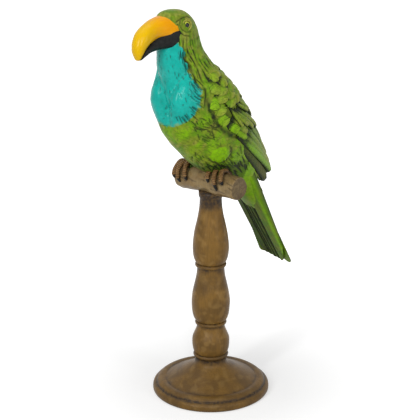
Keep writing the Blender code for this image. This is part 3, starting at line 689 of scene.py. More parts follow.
def near_path(rows, columns, path):
    """Distance in mm of each (row, column) place from a path of (row in mm, column in degrees) points."""
    best = np.full((len(rows), len(columns)), 1e3)
    place = np.stack(np.broadcast_arrays(rows[:, None], columns[None] * TRUNK_DEGREE), axis=-1)
    for (r0, c0), (r1, c1) in zip(path, path[1:]):
        a, b = np.array((r0, c0 * TRUNK_DEGREE)), np.array((r1, c1 * TRUNK_DEGREE))
        share = np.clip((place - a) @ (b - a) / ((b - a) @ (b - a)), 0, 1)
        best = np.minimum(best, np.linalg.norm(place - a - share[..., None] * (b - a), axis=-1))
    return best


def strands(grid, rows, columns, seed):
    """Long wavy locks of the neck, side by side: how deep their gaps are, from 0 to 1."""
    rows, columns = rows[:, None], columns[None]
    sway = 0.25 * np.sin(rows / 9.5 + columns / 22.0) + 0.50 * ripple(grid, 0.034, seed) + 0.014 * (rows - 40.0)
    wide = 0.5 + 0.5 * np.cos(2 * math.pi * (columns / 11.5 + sway))
    narrow = 0.5 + 0.5 * np.cos(2 * math.pi * (columns / 5.3 + 1.5 * sway + 0.2 * ripple(grid, 0.010, seed + 1)))
    fade = smooth(-0.9, 0.3, ripple(grid, 0.012, seed + 2))
    gap = np.maximum(wide**4 * smooth(-0.7, 0.2, ripple(grid, 0.014, seed + 4)),
                     0.75 * narrow**4 * smooth(-0.3, 0.6, ripple(grid, 0.011, seed + 3))) * (0.35 + 0.65 * fade)
    reach = smooth(21.0, 31.0, rows) * smooth(88.0, 74.0, rows + 0.12 * columns)
    return gap * reach * smooth(-36.0, -26.0, columns)


def make_trunk(material):
    """Head, neck and body in one skin, with bib, locks, fringe and scratches cut in."""
    rng = np.random.default_rng(11)
    fine_t = np.linspace(0.0, 1.0, 4001)
    spine = trunk_distance(fine_t)
    rows = np.concatenate([np.arange(0.0, RUMP, ROW_STEP), np.linspace(RUMP, spine[-1], HIDDEN_ROWS)])
    columns = np.concatenate([np.linspace(*band, endpoint=False) for band in (CARVED_COLUMNS, BACK_COLUMNS)])
    grid = trunk_surface(np.interp(rows, spine, fine_t), np.radians(columns))
    normal = outward(grid)
    down = rows[:, None]
    # The breast's middle is at -90 degrees, so the second set holds the mirrored place of each column
    both_sides = (columns, -180.0 - columns)

    deep, fine = trunk_strokes(rng)
    cut = carve(grid, rows, columns, deep)
    scratch = carve(grid, rows, columns, fine)
    uneven = 0.12 * ripple(grid, 0.009, 3) + 0.22 * ripple(grid, 0.022, 5)
    height = (-0.95 * cut - 0.30 * scratch + uneven) * smooth(0.5, 9.0, down)

    from_front = np.abs(columns + 90.0)[None] + 0.0 * down
    reach = np.interp(rows, [b[0] for b in BIB], [b[1] for b in BIB])[:, None]
    ragged = 3.0 * ripple(grid, 0.006, 8) + 2.0 * ripple(grid, 0.0025, 9)
    low_edge = smooth(92.5, 85.5, down + 2.2 * ripple(grid, 0.007, 12))
    bib = smooth(-1.2, 1.2, reach + ragged * 0.8 - from_front) * low_edge
    bib = np.where(down < 25.0, bib * smooth(22.0, 26.0, down), bib)

    for side, here in enumerate(both_sides):
        locks = np.where((columns < -90.0) == bool(side), strands(grid, rows, here, 101 + 10 * side), 0.0)
        locks = locks * (1.0 - smooth(0.4, 0.9, bib))
        height = height - 0.9 * locks
        cut = np.maximum(cut, locks**0.8)
    for i, path in enumerate(BREAST_FOLDS):
        fold = near_path(rows, columns, path)
        height = height - (2.6, 1.8)[i] * np.exp(-(fold / 3.4) ** 2)
        marks = smooth(0.1, 0.6, ripple(grid, 0.004, 130 + i))
        scratch = np.maximum(scratch, 0.75 * np.exp(-(fold / 0.6) ** 2) * marks)
    # Thigh tufts, cheeks and brows stand out from the trunk, and a groove runs along the wing's lower edge; its dark
    # paint is partly wash in the groove and partly painted shade under the wing
    broken = 0.72 + 0.28 * ripple(grid, 0.006, 150)
    for here in both_sides:
        thigh = np.hypot((down - 144.0) / 11.0, (here[None] + 39.0) / 15.0)
        cheek = np.hypot((down - 21.0) / 10.0, (here[None] - 2.0) / 32.0)
        brow = near_path(rows, here, BROW)
        flank = near_path(rows, here, FLANK)
        groove = np.exp(-(flank / 2.0) ** 2)
        height = (height + 1.8 * smooth(1.15, 0.45, thigh) + 0.7 * smooth(1.1, 0.3, cheek)
                  + 0.8 * np.exp(-(brow / 1.8) ** 2) - 0.8 * groove)
        cut = np.maximum(cut, groove * broken)
    grid = grid + normal * (height * MM)[..., None]

    lime = 0.75 * smooth(-0.15, 0.65, ripple(grid, 0.015, 21)) * smooth(86.0, 98.0, down)
    on_neck = smooth(26, 34, down) * smooth(84, 70, down)
    lime = lime + 0.5 * smooth(0.0, 0.7, ripple(grid, 0.007, 22)) * on_neck
    for here in both_sides:
        thigh = np.hypot((down - 142.5) / 9.5, (here[None] + 39.0) / 13.5) + 0.10 * ripple(grid, 0.005, 140)
        tuft = smooth(1.12, 0.90, thigh)
        lime = np.maximum(lime, 1.15 * tuft)
        cut, scratch = cut * (1.0 - 0.9 * tuft), scratch * (1.0 - 0.8 * tuft)
        cut = np.maximum(cut, 0.75 * np.exp(-((thigh - 1.22) / 0.15) ** 2) * (down > 140))
    lime = np.maximum(lime, 0.55 * smooth(150.0, 160.0, down))
    belly_front = smooth(34.0, 10.0, from_front) * smooth(95.0, 118.0, down)
    lime = lime * (1.0 - 0.7 * belly_front)
    rub = 0.55 * smooth(0.1, 0.8, ripple(grid, 0.010, 25)) * (1.0 - lime)
    # Painted shade: the body is darker low down, just over the log
    under = smooth(0.2535, 0.2470, grid[..., 2]) * (grid[..., 1] < 0.03)
    wash = np.clip(np.maximum(cut ** 0.8, 0.75 * scratch) * 1.05 + 0.6 * under, 0.0, 1.0)
    head_skin = smooth(24.0, 12.0, down)
    wash = np.clip(wash + 0.16 * head_skin + 0.14 * head_skin * ripple(grid, 0.004, 160), 0.0, 1.0)
    body = Carving()
    body.add(grid, wash=wash, bib=bib, lime=lime, rub=rub)
    body.finish("head_neck_and_body", material)


def wing_surface(distance, angle, out):
    """Points over the wing's surface: distance in m down the spine, angle in degrees, out in m."""
    places = [row[0] for row in WING]
    half_width = np.interp(distance, places, [row[1] for row in WING])
    depth = np.interp(distance, places, [row[2] for row in WING])
    lean, turn = math.radians(SPINE_LEAN), np.radians(angle)
    x = (half_width + WING_OVER_TRUNK + out) * np.cos(turn)
    back = (depth + WING_OVER_TRUNK + out) * np.sin(turn)
    y = SPINE_Y + distance * math.sin(lean) + back * math.cos(lean)
    z = SPINE_HEIGHT - distance * math.cos(lean) + back * math.sin(lean)
    return np.stack([x, y, PERCH_TOP + z], axis=-1)


def tail_surface(distance, across, out):
    """Points over the tail: distance in m down from the rump, across in m to the left, out in m."""
    lean = math.radians(TAIL_LEAN)
    arch = 0.0085 * (across / 0.021) ** 2
    rise = 0.0070 * (1.0 - 0.72 * np.clip(distance / TAIL_LENGTH, 0, 1)) - arch * 0.35 + out
    y = TAIL_ROOT[0] + distance * math.sin(lean) + rise * math.cos(lean)
    z = PERCH_TOP + TAIL_ROOT[1] - distance * math.cos(lean) + rise * math.sin(lean)
    return np.stack([across + 0 * y, y, z], axis=-1)


def tail_in_mm(distance, across, out):
    """The tail's surface with across in mm."""
    return tail_surface(distance, across * MM, out)


def feather(carving, surface, unit, root, tip, half_width, lifts, lime, rng, tip_round=1.0, size=(40, 21),
            thick=1.6, side=1, barb=1.25, root_wash=(0.10, 0.42), under_wash=1.0):
    """One carved feather as a closed leaf: shaft, barbs, crown and a rim that drops to the layer below.

    surface(distance, across, out) gives points; unit is the metres in one unit of across.
    root and tip are (distance in mm, across), half_width, lifts, thick and barb are in mm.
    """
    rows, columns = size
    s = np.linspace(0.0, 1.0, rows) ** 0.85
    w = np.sin(np.linspace(-1.0, 1.0, columns) * math.pi / 2)
    from_shaft = np.abs(w)[None]
    scale = np.array((1.0, unit / MM))
    start = np.array(root) * scale
    run = np.array(tip) * scale - start
    length = np.linalg.norm(run)
    long_one = length > LONG_FEATHER
    ahead = run / length
    beside = np.array((-ahead[1], ahead[0]))
    # Outline: narrower at the root, blunt at the tip, slightly bent and ragged
    blunt = min(half_width * tip_round * rng.uniform(*((0.62, 0.85) if long_one else (0.42, 0.62))) / length, 0.6)
    round_off = np.sqrt(np.clip(1.0 - np.clip((s - 1.0 + blunt) / blunt, 0, 0.995) ** 2.6, 0, 1))
    profile = half_width * (0.72 + 0.28 * smooth(0.0, 0.55, s)) * round_off
    bend = rng.normal(0, 0.03) * length * s**2
    ragged = np.sin(s * length * 1.9 + rng.uniform(0, 6)) + 0.7 * np.sin(s * length * 3.7 + rng.uniform(0, 6))
    nick = 1.0 + 0.06 * ragged[:, None] * from_shaft ** 4
    sideways = profile[:, None] * w[None] * nick + bend[:, None]
    place = start + ahead * (s * length)[:, None, None] + beside * sideways[..., None]
    # Relief: crown, raised shaft, slanting barbs and dropping edges
    crown = 0.10 * half_width * (1.0 - w[None] ** 2) * (0.5 + 0.5 * smooth(0, 0.5, s))[:, None]
    lift = (lifts[0] + (lifts[1] - lifts[0]) * smooth(0.0, 0.9, s))[:, None]
    rim = smooth(0.97, 1.0, s)[:, None] * 0.25
    shaft = np.exp(-(sideways / 0.42) ** 2) * smooth(0.98, 0.80, s)[:, None]
    slope = s[:, None] * length - np.abs(sideways) * 0.75 + rng.uniform(0, 2)
    wander = 0.35 * np.sin(sideways * 1.1 + rng.uniform(0, 6)) + 0.25 * np.sin(s[:, None] * length * 0.8)
    comb = 0.5 + 0.5 * np.cos(2 * math.pi * (slope / barb + wander * 0.35))
    comb = comb ** 1.6 * smooth(0.25, 0.9, np.abs(sideways)) * (0.55 + 0.45 * np.sin(slope * 0.9 + rng.uniform(0, 6)))
    edge_drop, comb_wash = (0.9, 0.6) if long_one else (0.6, 0.9)
    out = lift + crown + 0.20 * shaft - 0.30 * comb - rim - edge_drop * from_shaft ** 5
    floor_lift = np.minimum(lift, lifts[0] + 0.2) - thick
    top = surface(place[..., 0] * MM, place[..., 1] * MM / unit, out * MM)
    base = surface(place[..., 0] * MM, place[..., 1] * MM / unit, (floor_lift + 0 * out) * MM)
    ring = np.concatenate([top, base[:, ::-1]], axis=1)
    # Paint: wash along the edges, between the barbs and at the root, dry brush on the tip
    side_line = from_shaft ** 3.2 if long_one else 0.8 * from_shaft ** 9
    edge = np.maximum(side_line, smooth(0.955, 0.985, s)[:, None])
    hidden = smooth(root_wash[1], root_wash[0], s)[:, None]
    wash_top = np.clip(comb_wash * comb * (1 - 0.35 * s[:, None]) + hidden + 0.95 * edge, 0, 1)
    tip_glow = smooth(0.55, 0.9, s)[:, None] * (1.0 - comb) * 0.75 + 0.25 * (1 - from_shaft)
    wash = np.concatenate([wash_top, under_wash + 0 * wash_top], axis=1)
    rub = np.concatenate([np.clip(tip_glow * (1.0 - 0.8 * lime), 0, 1), np.zeros_like(wash_top)], axis=1)
    if lime < 0.0:  # a feather in the shade, darker instead of lime
        wash = np.clip(wash * 0.5 - lime, 0, 1)
    carving.add(ring * MIRROR if side < 0 else ring, wash=wash, lime=max(float(lime), 0.0), rub=rub)


def make_wing(name, side, material):
    """Folded wing: the curved plate of its bones, then every feather of the table laid over it."""
    rng = np.random.default_rng(31 if side > 0 else 32)
    carving = Carving()
    places = np.linspace(WING[0][0], WING[-1][0], 110)
    low, high = (np.interp(places, [row[0] for row in WING], [row[i] for row in WING])[:, None] for i in (3, 4))
    share = np.linspace(0.0, 1.0, 34)[None]
    angle = low + (high - low) * share
    edge = 1.0 - np.sin(math.pi * share) ** 0.6
    outer = wing_surface(places[:, None], angle, -0.0024 * edge)
    thickness = WING_THICKNESS * (1.0 - 0.45 * np.clip(places[:, None], 0, 1) / WING[-1][0])
    inner = wing_surface(places[:, None], angle[:, ::-1], -thickness + 0 * angle)
    ring = np.concatenate([outer, inner], axis=1)
    # Painted shade: the plate's side against the body is painted fully dark, and its outer side darker towards both
    # edges
    wash = np.concatenate([0.35 + 0.5 * edge + 0 * angle, np.ones_like(angle)], axis=1)
    carving.add(ring * MIRROR if side < 0 else ring, wash=wash, lime=0.1)
    for d0, a0, d1, a1, half_width, low_lift, high_lift, lime in WING_FEATHERS:
        if math.hypot(d1 - d0, WING_DEGREE / MM * (a1 - a0)) > LONG_FEATHER:
            narrow, raised = 0.86, 1.15
            make = dict(tip_round=1.5, size=(62, 17), barb=2.7, root_wash=(0.05, 0.34))
        else:
            narrow, raised = 1.14, 1.2
            make = dict(size=(36, 21), barb=2.3, root_wash=(0.0, 0.02) if d0 < -20 else (0.16, 0.50))
        feather(carving, wing_surface, WING_DEGREE, (d0, a0), (d1, a1), half_width * narrow,
                (low_lift, high_lift * raised), lime, rng, side=side, **make)
    carving.finish(name, material)


def make_mantle(material):
    """Scalloped feathers down the middle of the back, between the wings."""
    rng = np.random.default_rng(41)
    carving = Carving()
    for row in range(8):
        start = 52.0 - 10.5 * row
        lift = 0.9 + 0.16 * row
        count = 3 + row % 2
        for i in range(count):
            middle = 90.0 + (i - (count - 1) / 2) * 17.0
            root, tip = (start, middle + rng.normal(0, 1)), (start + 15.0, middle + rng.normal(0, 1))
            feather(carving, wing_surface, MANTLE_DEGREE, root, tip, 6.0, (lift - 0.6, lift + 2.0), 0.15 * (i % 2),
                    rng, size=(28, 19), thick=5.0)
    carving.finish("mantle_feathers", material)


def make_tail(material):
    """Long tail feathers lapped side by side over a thick core, and two rows of small ones at the rump."""
    rng = np.random.default_rng(51)
    carving = Carving()
    place = np.linspace(-1.0, 1.0, 72)[None]
    reach = np.interp(place * TAIL_HALF_WIDTH / MM, [p[0] for p in TAIL_TIPS], [p[1] for p in TAIL_TIPS]) * MM
    distance = TAIL_START + (reach - TAIL_START) * np.linspace(0.0, 1.0, 130)[:, None]
    share = np.clip(distance / TAIL_LENGTH, 0, 1)
    across = place * TAIL_HALF_WIDTH * (1.0 - 0.16 * share)
    thick = TAIL_THICKNESS * (1.0 - 0.78 * share) * (1.0 - 0.35 * place**2)
    groove = np.max([np.exp(-((place - at) / width) ** 2) for at, width in TAIL_GROOVES], axis=0)
    groove = groove * smooth(-0.002, 0.030, distance)
    top = tail_surface(distance, across, -0.0006)
    under = tail_surface(distance, across, -thick + 0.0011 * groove)
    # The under side is streaked and darker from the middle to its far edge as painted shade, with a lime band along
    # its near edge and at the root
    streak = 0.5 + 0.5 * ripple(np.stack([across, distance * 0.10, 0 * thick], axis=-1), 0.0016, 55)
    shaded = 0.24 + smooth(0.30, 0.15, place) * 0.36 + 0.34 * streak**2
    wash_under = np.clip(shaded * smooth(-0.01, 0.03, distance) + 0.95 * groove, 0, 1)
    near_edge = smooth(0.70, 0.86, place + 0.06 * (streak - 0.5)) * smooth(1.02, 0.98, place)
    wash = np.concatenate([0.8 + 0 * thick, (wash_under * (1.0 - 0.75 * near_edge))[:, ::-1]], axis=1)
    lime = np.concatenate([0 * thick, np.maximum(near_edge, smooth(0.030, 0.0, distance) * 0.8)[:, ::-1]], axis=1)
    carving.add(np.concatenate([top, under[:, ::-1]], axis=1), wash=wash, lime=lime)
    for i, (root, tip, length, half_width, lime) in enumerate(TAIL_FEATHERS):
        feather(carving, tail_in_mm, MM, (-12.0, root), (length, tip), half_width, (0.1 + 0.12 * i, 0.5 + 0.12 * i),
                lime, rng, tip_round=1.6, size=(110, 17), thick=1.8, barb=2.2, root_wash=(0.0, 0.12), under_wash=0.3)
    for i, (down, middle) in enumerate(RUMP_FEATHERS):
        feather(carving, tail_in_mm, MM, (down - 14.0, middle * 0.8), (down + 12.0, middle), 6.0,
                (1.0 + 0.3 * i, 1.8 + 0.35 * i), 0.3, rng, size=(34, 21), thick=3.0)
    carving.finish("tail_feathers", material)


def beak_half(name, upper, lower, half_width, wide_below, material, dark_line, flare):
    """Beak half between two side outlines, widest where it meets the other half and flared over the face.

    dark_line is how dark the wavy line is that the painter left along the cutting edge.
    """
    rows, columns = 130, 72
    t = np.linspace(0.0, 1.0, rows)
    top, bottom = along(upper, t)[:, None], along(lower, t)[:, None]
    width = (half_width * np.sqrt(np.maximum(1.0 - t**2.6, 0.004)) * (1.0 + flare * smooth(0.46, 0.16, t)))[:, None]
    turn = 2 * math.pi * (np.arange(columns) + 0.5)[None] / columns
    # Flat where the halves meet near the face, oval towards the tip
    q = 1.0 - np.abs(turn / math.pi - 1.0)
    flat = smooth(0.62, 0.16, t)[:, None]
    arch = 1.0 - np.cos(np.minimum(q / 0.84, 1.0) * math.pi / 2)
    power = 2.3 if wide_below else 3.4
    bow = (1.0 - (1.0 - arch) ** power) ** (1 / power) * np.clip((1.0 - q) / 0.16, 0.0, 1.0)
    level = (1.0 - flat) * (1.0 - np.cos(math.pi * q)) / 2.0 + flat * arch
    x = width * np.sign(math.pi - turn) * ((1.0 - flat) * np.sin(math.pi * q) + flat * bow)
    side_line = top + (bottom - top) * (level if wide_below else 1.0 - level)[..., None]
    grid = np.stack([x, side_line[..., 0], PERCH_TOP + side_line[..., 1]], axis=-1)
    uneven = 0.10 * MM * ripple(grid * np.array((1.0, 0.45, 1.0)), 0.0045, 61)
    grid = grid + outward(grid) * uneven[..., None]
    wave = 0.90 + 0.02 * ripple(grid, 0.004, 62)
    carving = Carving()
    carving.add(grid, wash=dark_line * smooth(wave - 0.02, wave + 0.01, q))
    carving.finish(name, material)


def make_eyes(eye_material, lid_material):
    """Eyeball with painted iris, and two raised rings of lid around it."""
    centre = np.array(EYE_PLACE) + (0.0, 0.0, PERCH_TOP)
    out = np.array((math.cos(math.radians(EYE_TURN)), -math.sin(math.radians(EYE_TURN)), 0.05))
    out /= np.linalg.norm(out)
    across = np.cross((0.0, 0.0, 1.0), out)
    across /= np.linalg.norm(across)
    up = np.cross(out, across)
    polar = np.linspace(0.02, math.pi * 0.98, 40)[:, None]
    turn = (2 * math.pi * np.arange(48) / 48)[None]
    ball = centre + EYE_RADIUS * (np.cos(polar)[..., None] * out * 0.86
                                  + (np.sin(polar) * np.cos(turn))[..., None] * across
                                  + (np.sin(polar) * np.sin(turn))[..., None] * up)
    around = np.linspace(0, 2 * math.pi, 72, endpoint=False)[:, None]
    bend = np.linspace(0, 2 * math.pi, 14, endpoint=False)[None]
    nub = 1.0 + 0.12 * np.sin(around * 17)
    radial = np.cos(around)[..., None] * across + np.sin(around)[..., None] * up
    wash = np.clip(smooth(0.35, -0.3, np.sin(bend)) + 0.25 * np.sin(around * 17) ** 2, 0, 1)
    for name, mirror in (("left", 1.0), ("right", MIRROR)):
        eye, lids = Carving(), Carving()
        eye.add(ball * mirror, rub=np.where(polar < math.pi / 2, np.sin(polar), 1.0))
        eye.finish("eye_" + name, eye_material)
        for radius, tube, push in LID_RINGS:
            ring = (centre + out * push + radial * (radius + tube * nub * np.cos(bend))[..., None]
                    + out * (tube * nub * np.sin(bend))[..., None])
            lids.add(ring * mirror, loop=True, wash=wash, rub=1.0)
        lids.finish("eyelids_" + name, lid_material)


def finger(centre, radius, turn, flat=1.0):
    """Tube of the given radii along a line of points, flattened to that share."""
    heading = np.gradient(centre, axis=0)
    heading /= np.linalg.norm(heading, axis=1, keepdims=True)
    side = np.cross(heading, (1.0, 0.0, 0.0))
    side /= np.linalg.norm(side, axis=1, keepdims=True)
    other = np.cross(heading, side)
    return (centre[:, None] + (radius[:, None] * np.cos(turn))[..., None] * side[:, None] * flat
            + (radius[:, None] * np.sin(turn))[..., None] * other[:, None])


def make_feet(toe_material, claw_material):
    """Toes with scaled ridges and black claws that grip the log."""
    toes, claws = Carving(), Carving()
    turn = (2 * math.pi * np.arange(18) / 18)[None]
    for points in TOES:
        path = np.array(points) * MM
        t = np.linspace(0.0, 0.80, 88)
        centre = along(path, t)
        gone = np.concatenate([[0], np.cumsum(np.linalg.norm(np.diff(centre, axis=0), axis=1))])
        ridge = 0.5 + 0.5 * np.cos(2 * math.pi * gone / TOE_RIDGES)
        radius = TOE_RADIUS * (1.0 - 0.16 * smooth(0.0, 0.03, gone)) + 0.00020 * ridge
        radius = radius * np.where(t > 0.76, np.sqrt(np.clip(1 - ((t - 0.76) / 0.043) ** 2, 0.05, 1)), 1.0)
        # Painted shade: one half of each toe is darker; on the front toes it is the half against the log
        inner = smooth(0.3, -0.4, np.maximum(np.cos(turn), 0.0) - 0.15)
        wash = np.clip((1.0 - ridge[:, None]) ** 2 * 0.85 + inner, 0, 1)
        toes.add(finger(centre, radius, turn), wash=wash, rub=0.3 * ridge[:, None])
        t = np.linspace(0.72, 1.0, 30)
        radius = CLAW_RADIUS * np.sqrt(np.clip(1.0 - ((t - 0.72) / 0.285) ** 1.6, 0.004, 1))
        claws.add(finger(along(path, t), radius, turn, 0.85))
    toes.finish("toes", toe_material)
    claws.finish("claws", claw_material)


def make_legs(material):
    """Feathered legs between the belly and the toes."""
    carving = Carving()
    t = np.linspace(0.0, 1.0, 60)[:, None]
    turn = (2 * math.pi * np.arange(60) / 60)[None]
    strand = np.sin(turn * 11 + t * 5)
    radius = 0.0062 - 0.0018 * smooth(0.0, 0.75, t) + 0.0004 * strand + 0.0010 * smooth(0.75, 1.0, t)
    wash = np.clip(0.25 + 0.55 * t + 0.5 * smooth(0.2, -0.8, strand), 0, 1)
    for middle in LEGS:
        x = middle + radius * np.cos(turn)
        y = 0.0065 * (1.0 - t) - 0.0010 + radius * np.sin(turn)
        z = PERCH_TOP + 0.0260 - 0.0275 * t + 0 * turn
        carving.add(np.stack([x, y, z], axis=-1), wash=wash, lime=0.5)
    carving.finish("feathered_legs", material)


# Log and stand

def make_log(material, sizes):
    """Log with sawn end and growth rings on the bird's left, and a rounded end on its right."""
    centre_z = sizes.log_height
    x = np.concatenate([LOG_FAR_END + LOG_ROUNDING * (1 - np.cos(np.linspace(0.06, math.pi / 2, 40))),
                        np.linspace(-0.0340, LOG_NEAR_END - 0.0008, 130), [LOG_NEAR_END - 0.0003, LOG_NEAR_END]])
    depth = np.clip((x - LOG_FAR_END) / LOG_ROUNDING, 0.0, 1.0)
    share = np.interp(x, LOG_PLACES, LOG_SHARES) * np.sqrt(np.clip(1.0 - (1.0 - depth) ** 2.4, 0.02, 1.0))
    turn = (2 * math.pi * np.arange(160) / 160)[None]
    facet = 0.018 * np.sin(3 * turn + 90 * x[:, None]) + 0.010 * np.sin(7 * turn + 1.0)
    droop = LOG_DROOP * np.minimum(0.0, x) / abs(LOG_FAR_END)
    reach = sizes.log_radius * share[:, None] * (1.0 + facet)
    direction = np.stack([0 * reach, np.cos(turn) + 0 * reach, np.sin(turn) + 0 * reach], axis=-1)
    middle = np.stack([x, 0 * x, centre_z + droop], axis=-1)[:, None]
    grid = middle + direction * reach[..., None]
    bark = ripple(grid * np.array((0.35, 1.0, 1.0)), 0.0035, 71)
    knots = ripple(grid, 0.016, 72)
    grid = grid + direction * ((0.16 * bark + 0.28 * knots) * MM)[..., None]
    wash = np.clip(0.55 * smooth(0.35, 0.95, -bark) + 0.25 * smooth(0.2, 0.9, -knots), 0, 1)
    # Painted shadow: the log's top is darker around the feet
    for leg in LEGS:
        shade = np.exp(-((grid[..., 0] - leg) / 0.010) ** 2) * smooth(0.010, 0.0125, grid[..., 2] - centre_z)
        wash = np.maximum(wash, 0.7 * shade)
    carving = Carving()
    carving.add(grid, caps=False, wash=wash, rub=0.25 * smooth(0.2, 0.9, bark))
    # Sawn end: shallow rings round an off-centre heart
    share_in = np.linspace(1.0, 0.0, 60)[:, None]
    heart = np.array((LOG_NEAR_END, -0.0008, centre_z - 0.0010))
    face = heart + (grid[-1][None] - heart) * share_in[..., None]
    rings = share_in * 11.0 + 0.35 * np.sin(turn * 2 + 1.0) + 0.25 * np.sin(turn * 5)
    rings = 0.5 + 0.5 * np.cos(2 * math.pi * rings)
    sunk = 0.22 * rings * smooth(0.0, 0.15, share_in) * smooth(1.0, 0.93, share_in)
    face[..., 0] += (0.2 * (1 - share_in) - sunk) * MM
    carving.add(face[:-1], caps=False, wash=np.clip(0.35 + 0.5 * rings[:-1], 0, 1))
    cap = grid[0][None] + (grid[0].mean(axis=0) - grid[0])[None] * np.linspace(0.0, 0.98, 6)[:, None, None]
    carving.add(cap, caps=False, wash=0.3)
    carving.finish("log", material)


def stand_profile(sizes):
    """Radius, height and wash down the outer side of the stand, from the post's top to the underside."""
    points = list(COLLAR)
    above = COLLAR[-1][:2]
    for ring_radius, ring_z, bulb, level in SWELLINGS:
        inner = ring_radius - RING_TUBE
        widest = (bulb, ring_z + RING_TUBE + (above[1] - ring_z - RING_TUBE) * level)
        for t in np.linspace(0.02, 1.0, 26):
            ease = (1.0 - math.cos(math.pi * t)) / 2.0
            points.append((above[0] + (widest[0] - above[0]) * ease, above[1] + (widest[1] - above[1]) * t,
                           0.9 * max(0.0, 1.0 - t * 5.5)))
        for t in np.linspace(0.04, 0.985, 20):
            turn = math.pi / 2 * t
            points.append((inner + (widest[0] - inner) * math.cos(turn),
                           widest[1] + (ring_z + RING_TUBE - widest[1]) * math.sin(turn),
                           0.8 * max(0.0, t * 6.0 - 5.0)))
        points.append((inner - RING_GROOVE, ring_z + RING_TUBE, 1.0))
        for t in np.linspace(0.0, 1.0, 13):
            turn = math.pi * (0.5 - t)
            points.append((inner + RING_TUBE * math.cos(turn), ring_z + RING_TUBE * math.sin(turn),
                           0.35 + 0.65 * abs(2 * t - 1) ** 2))
        points.append((inner - RING_GROOVE, ring_z - RING_TUBE, 1.0))
        above = (inner, ring_z - RING_TUBE - RING_GROOVE)
    points += CONE_NECK
    top_radius, top_z, foot_radius, foot_z = CONE
    for t in np.linspace(0.05, 1.0, 22):
        sag = 0.00018 * math.sin(math.pi * t)
        points.append((top_radius + (foot_radius - top_radius) * t, top_z - (top_z - foot_z) * t ** 0.95 - sag,
                       0.55 * max(0.0, 1.0 - abs(t - 1.0) * 9.0)))
    points += MOULDING
    points += [(sizes.base_radius - inset, z, wash) for inset, z, wash in BASE_EDGE]
    points += [(0.030, 0.0, 0.7), (0.0, 0.0, 0.7)]
    return np.array(points)


def make_stand(material, sizes):
    """Turned post of three swellings on a domed, moulded base, slightly uneven as a casting is."""
    turn = (2 * math.pi * np.arange(144) / 144)[None]
    radius, z, wash = (column[:, None] for column in stand_profile(sizes).T)
    grid = np.stack([radius * np.cos(turn), radius * np.sin(turn), z + 0 * turn], axis=-1)
    uneven = ripple(grid, 0.020, 81) * 0.10 + ripple(grid * np.array((1, 1, 0.25)), 0.0035, 82) * 0.05
    inside = smooth(0.0, 0.008, radius) * smooth(0.0, 0.003, z) * smooth(0.0610, 0.0600, radius)
    grid[..., :2] *= (1.0 + (uneven * MM * inside / np.maximum(radius, 0.004)))[..., None]
    patches = ripple(grid, 0.012, 83)
    glaze_and_dark_bands = np.clip(wash + 0.25 * patches * (wash > 0.05), 0, 1)
    # The post is darker at its top, under the log, and a little darker in bands on the cone and under the top
    # swelling
    band = smooth(0.1965, 0.2060, z + 0.0016 * patches)
    thin = 0.22 * smooth(0.034, 0.026, z) + 0.30 * smooth(0.112, 0.118, z) * smooth(0.136, 0.128, z)
    glaze_and_dark_bands = np.maximum(np.maximum(glaze_and_dark_bands, band), thin)
    carving = Carving()
    carving.add(grid[1:-1], wash=glaze_and_dark_bands[1:-1], rub=0.35 * smooth(0.2, 0.9, patches[1:-1]))
    carving.finish("turned_stand", material)


# Camera, lamps and floor

def add_lamp(name, place, size, energy):
    """A rectangular softbox that faces the figurine."""
    lamp = bpy.data.lights.new(name, 'AREA')
    lamp.shape = 'RECTANGLE'
    lamp.size, lamp.size_y = size
    lamp.energy = energy
    holder = bpy.data.objects.new(name, lamp)
    holder.location = place
    holder.rotation_euler = (Vector(LAMP_TARGET) - Vector(place)).to_track_quat('-Z', 'Y').to_euler()
    bpy.context.scene.collection.objects.link(holder)


def seen_as_white(tree):
    """1 for rays that should see the plain white background."""
    path = node(tree, "ShaderNodeLightPath")
    either = node(tree, "ShaderNodeMath", {0: path.outputs["Is Camera Ray"], 1: path.outputs["Is Glossy Ray"]},
                  operation='MAXIMUM')
    return node(tree, "ShaderNodeMath", {0: either.outputs[0], 1: path.outputs["Is Transmission Ray"]},
                operation='MAXIMUM').outputs[0]


def make_floor(sizes):
    """White paper floor that glows less around the base, so that the figurine's soft shadow shows there."""
    mesh = bpy.data.meshes.new("floor")
    corners = [(x * FLOOR_HALF, y * FLOOR_HALF, 0) for x, y in ((-1, -1), (1, -1), (1, 1), (-1, 1))]
    mesh.from_pydata(corners, [], [(0, 1, 2, 3)])
    material, tree, place = blank_material("white_paper_floor")
    away = node(tree, "ShaderNodeVectorMath", {0: place}, operation='LENGTH').outputs["Value"]
    glowing = node(tree, "ShaderNodeMapRange", {
        "Value": away, "From Min": SHADOW_REACH[0], "From Max": SHADOW_REACH[1],
        "To Min": sizes.floor_glow, "To Max": 1.0}).outputs["Result"]
    strength = node(tree, "ShaderNodeMath", {0: seen_as_white(tree), 1: glowing}, operation='MULTIPLY')
    diffuse = node(tree, "ShaderNodeBsdfDiffuse", {"Color": (0.60, 0.60, 0.60)})
    glow = node(tree, "ShaderNodeEmission", {"Color": (1.0, 1.0, 1.0), "Strength": strength.outputs[0]})
    both = node(tree, "ShaderNodeAddShader", {0: diffuse.outputs[0], 1: glow.outputs[0]})
    node(tree, "ShaderNodeOutputMaterial", {"Surface": both.outputs[0]})
    mesh.materials.append(material)
    floor = bpy.data.objects.new("floor", mesh)
    bpy.context.scene.collection.objects.link(floor)


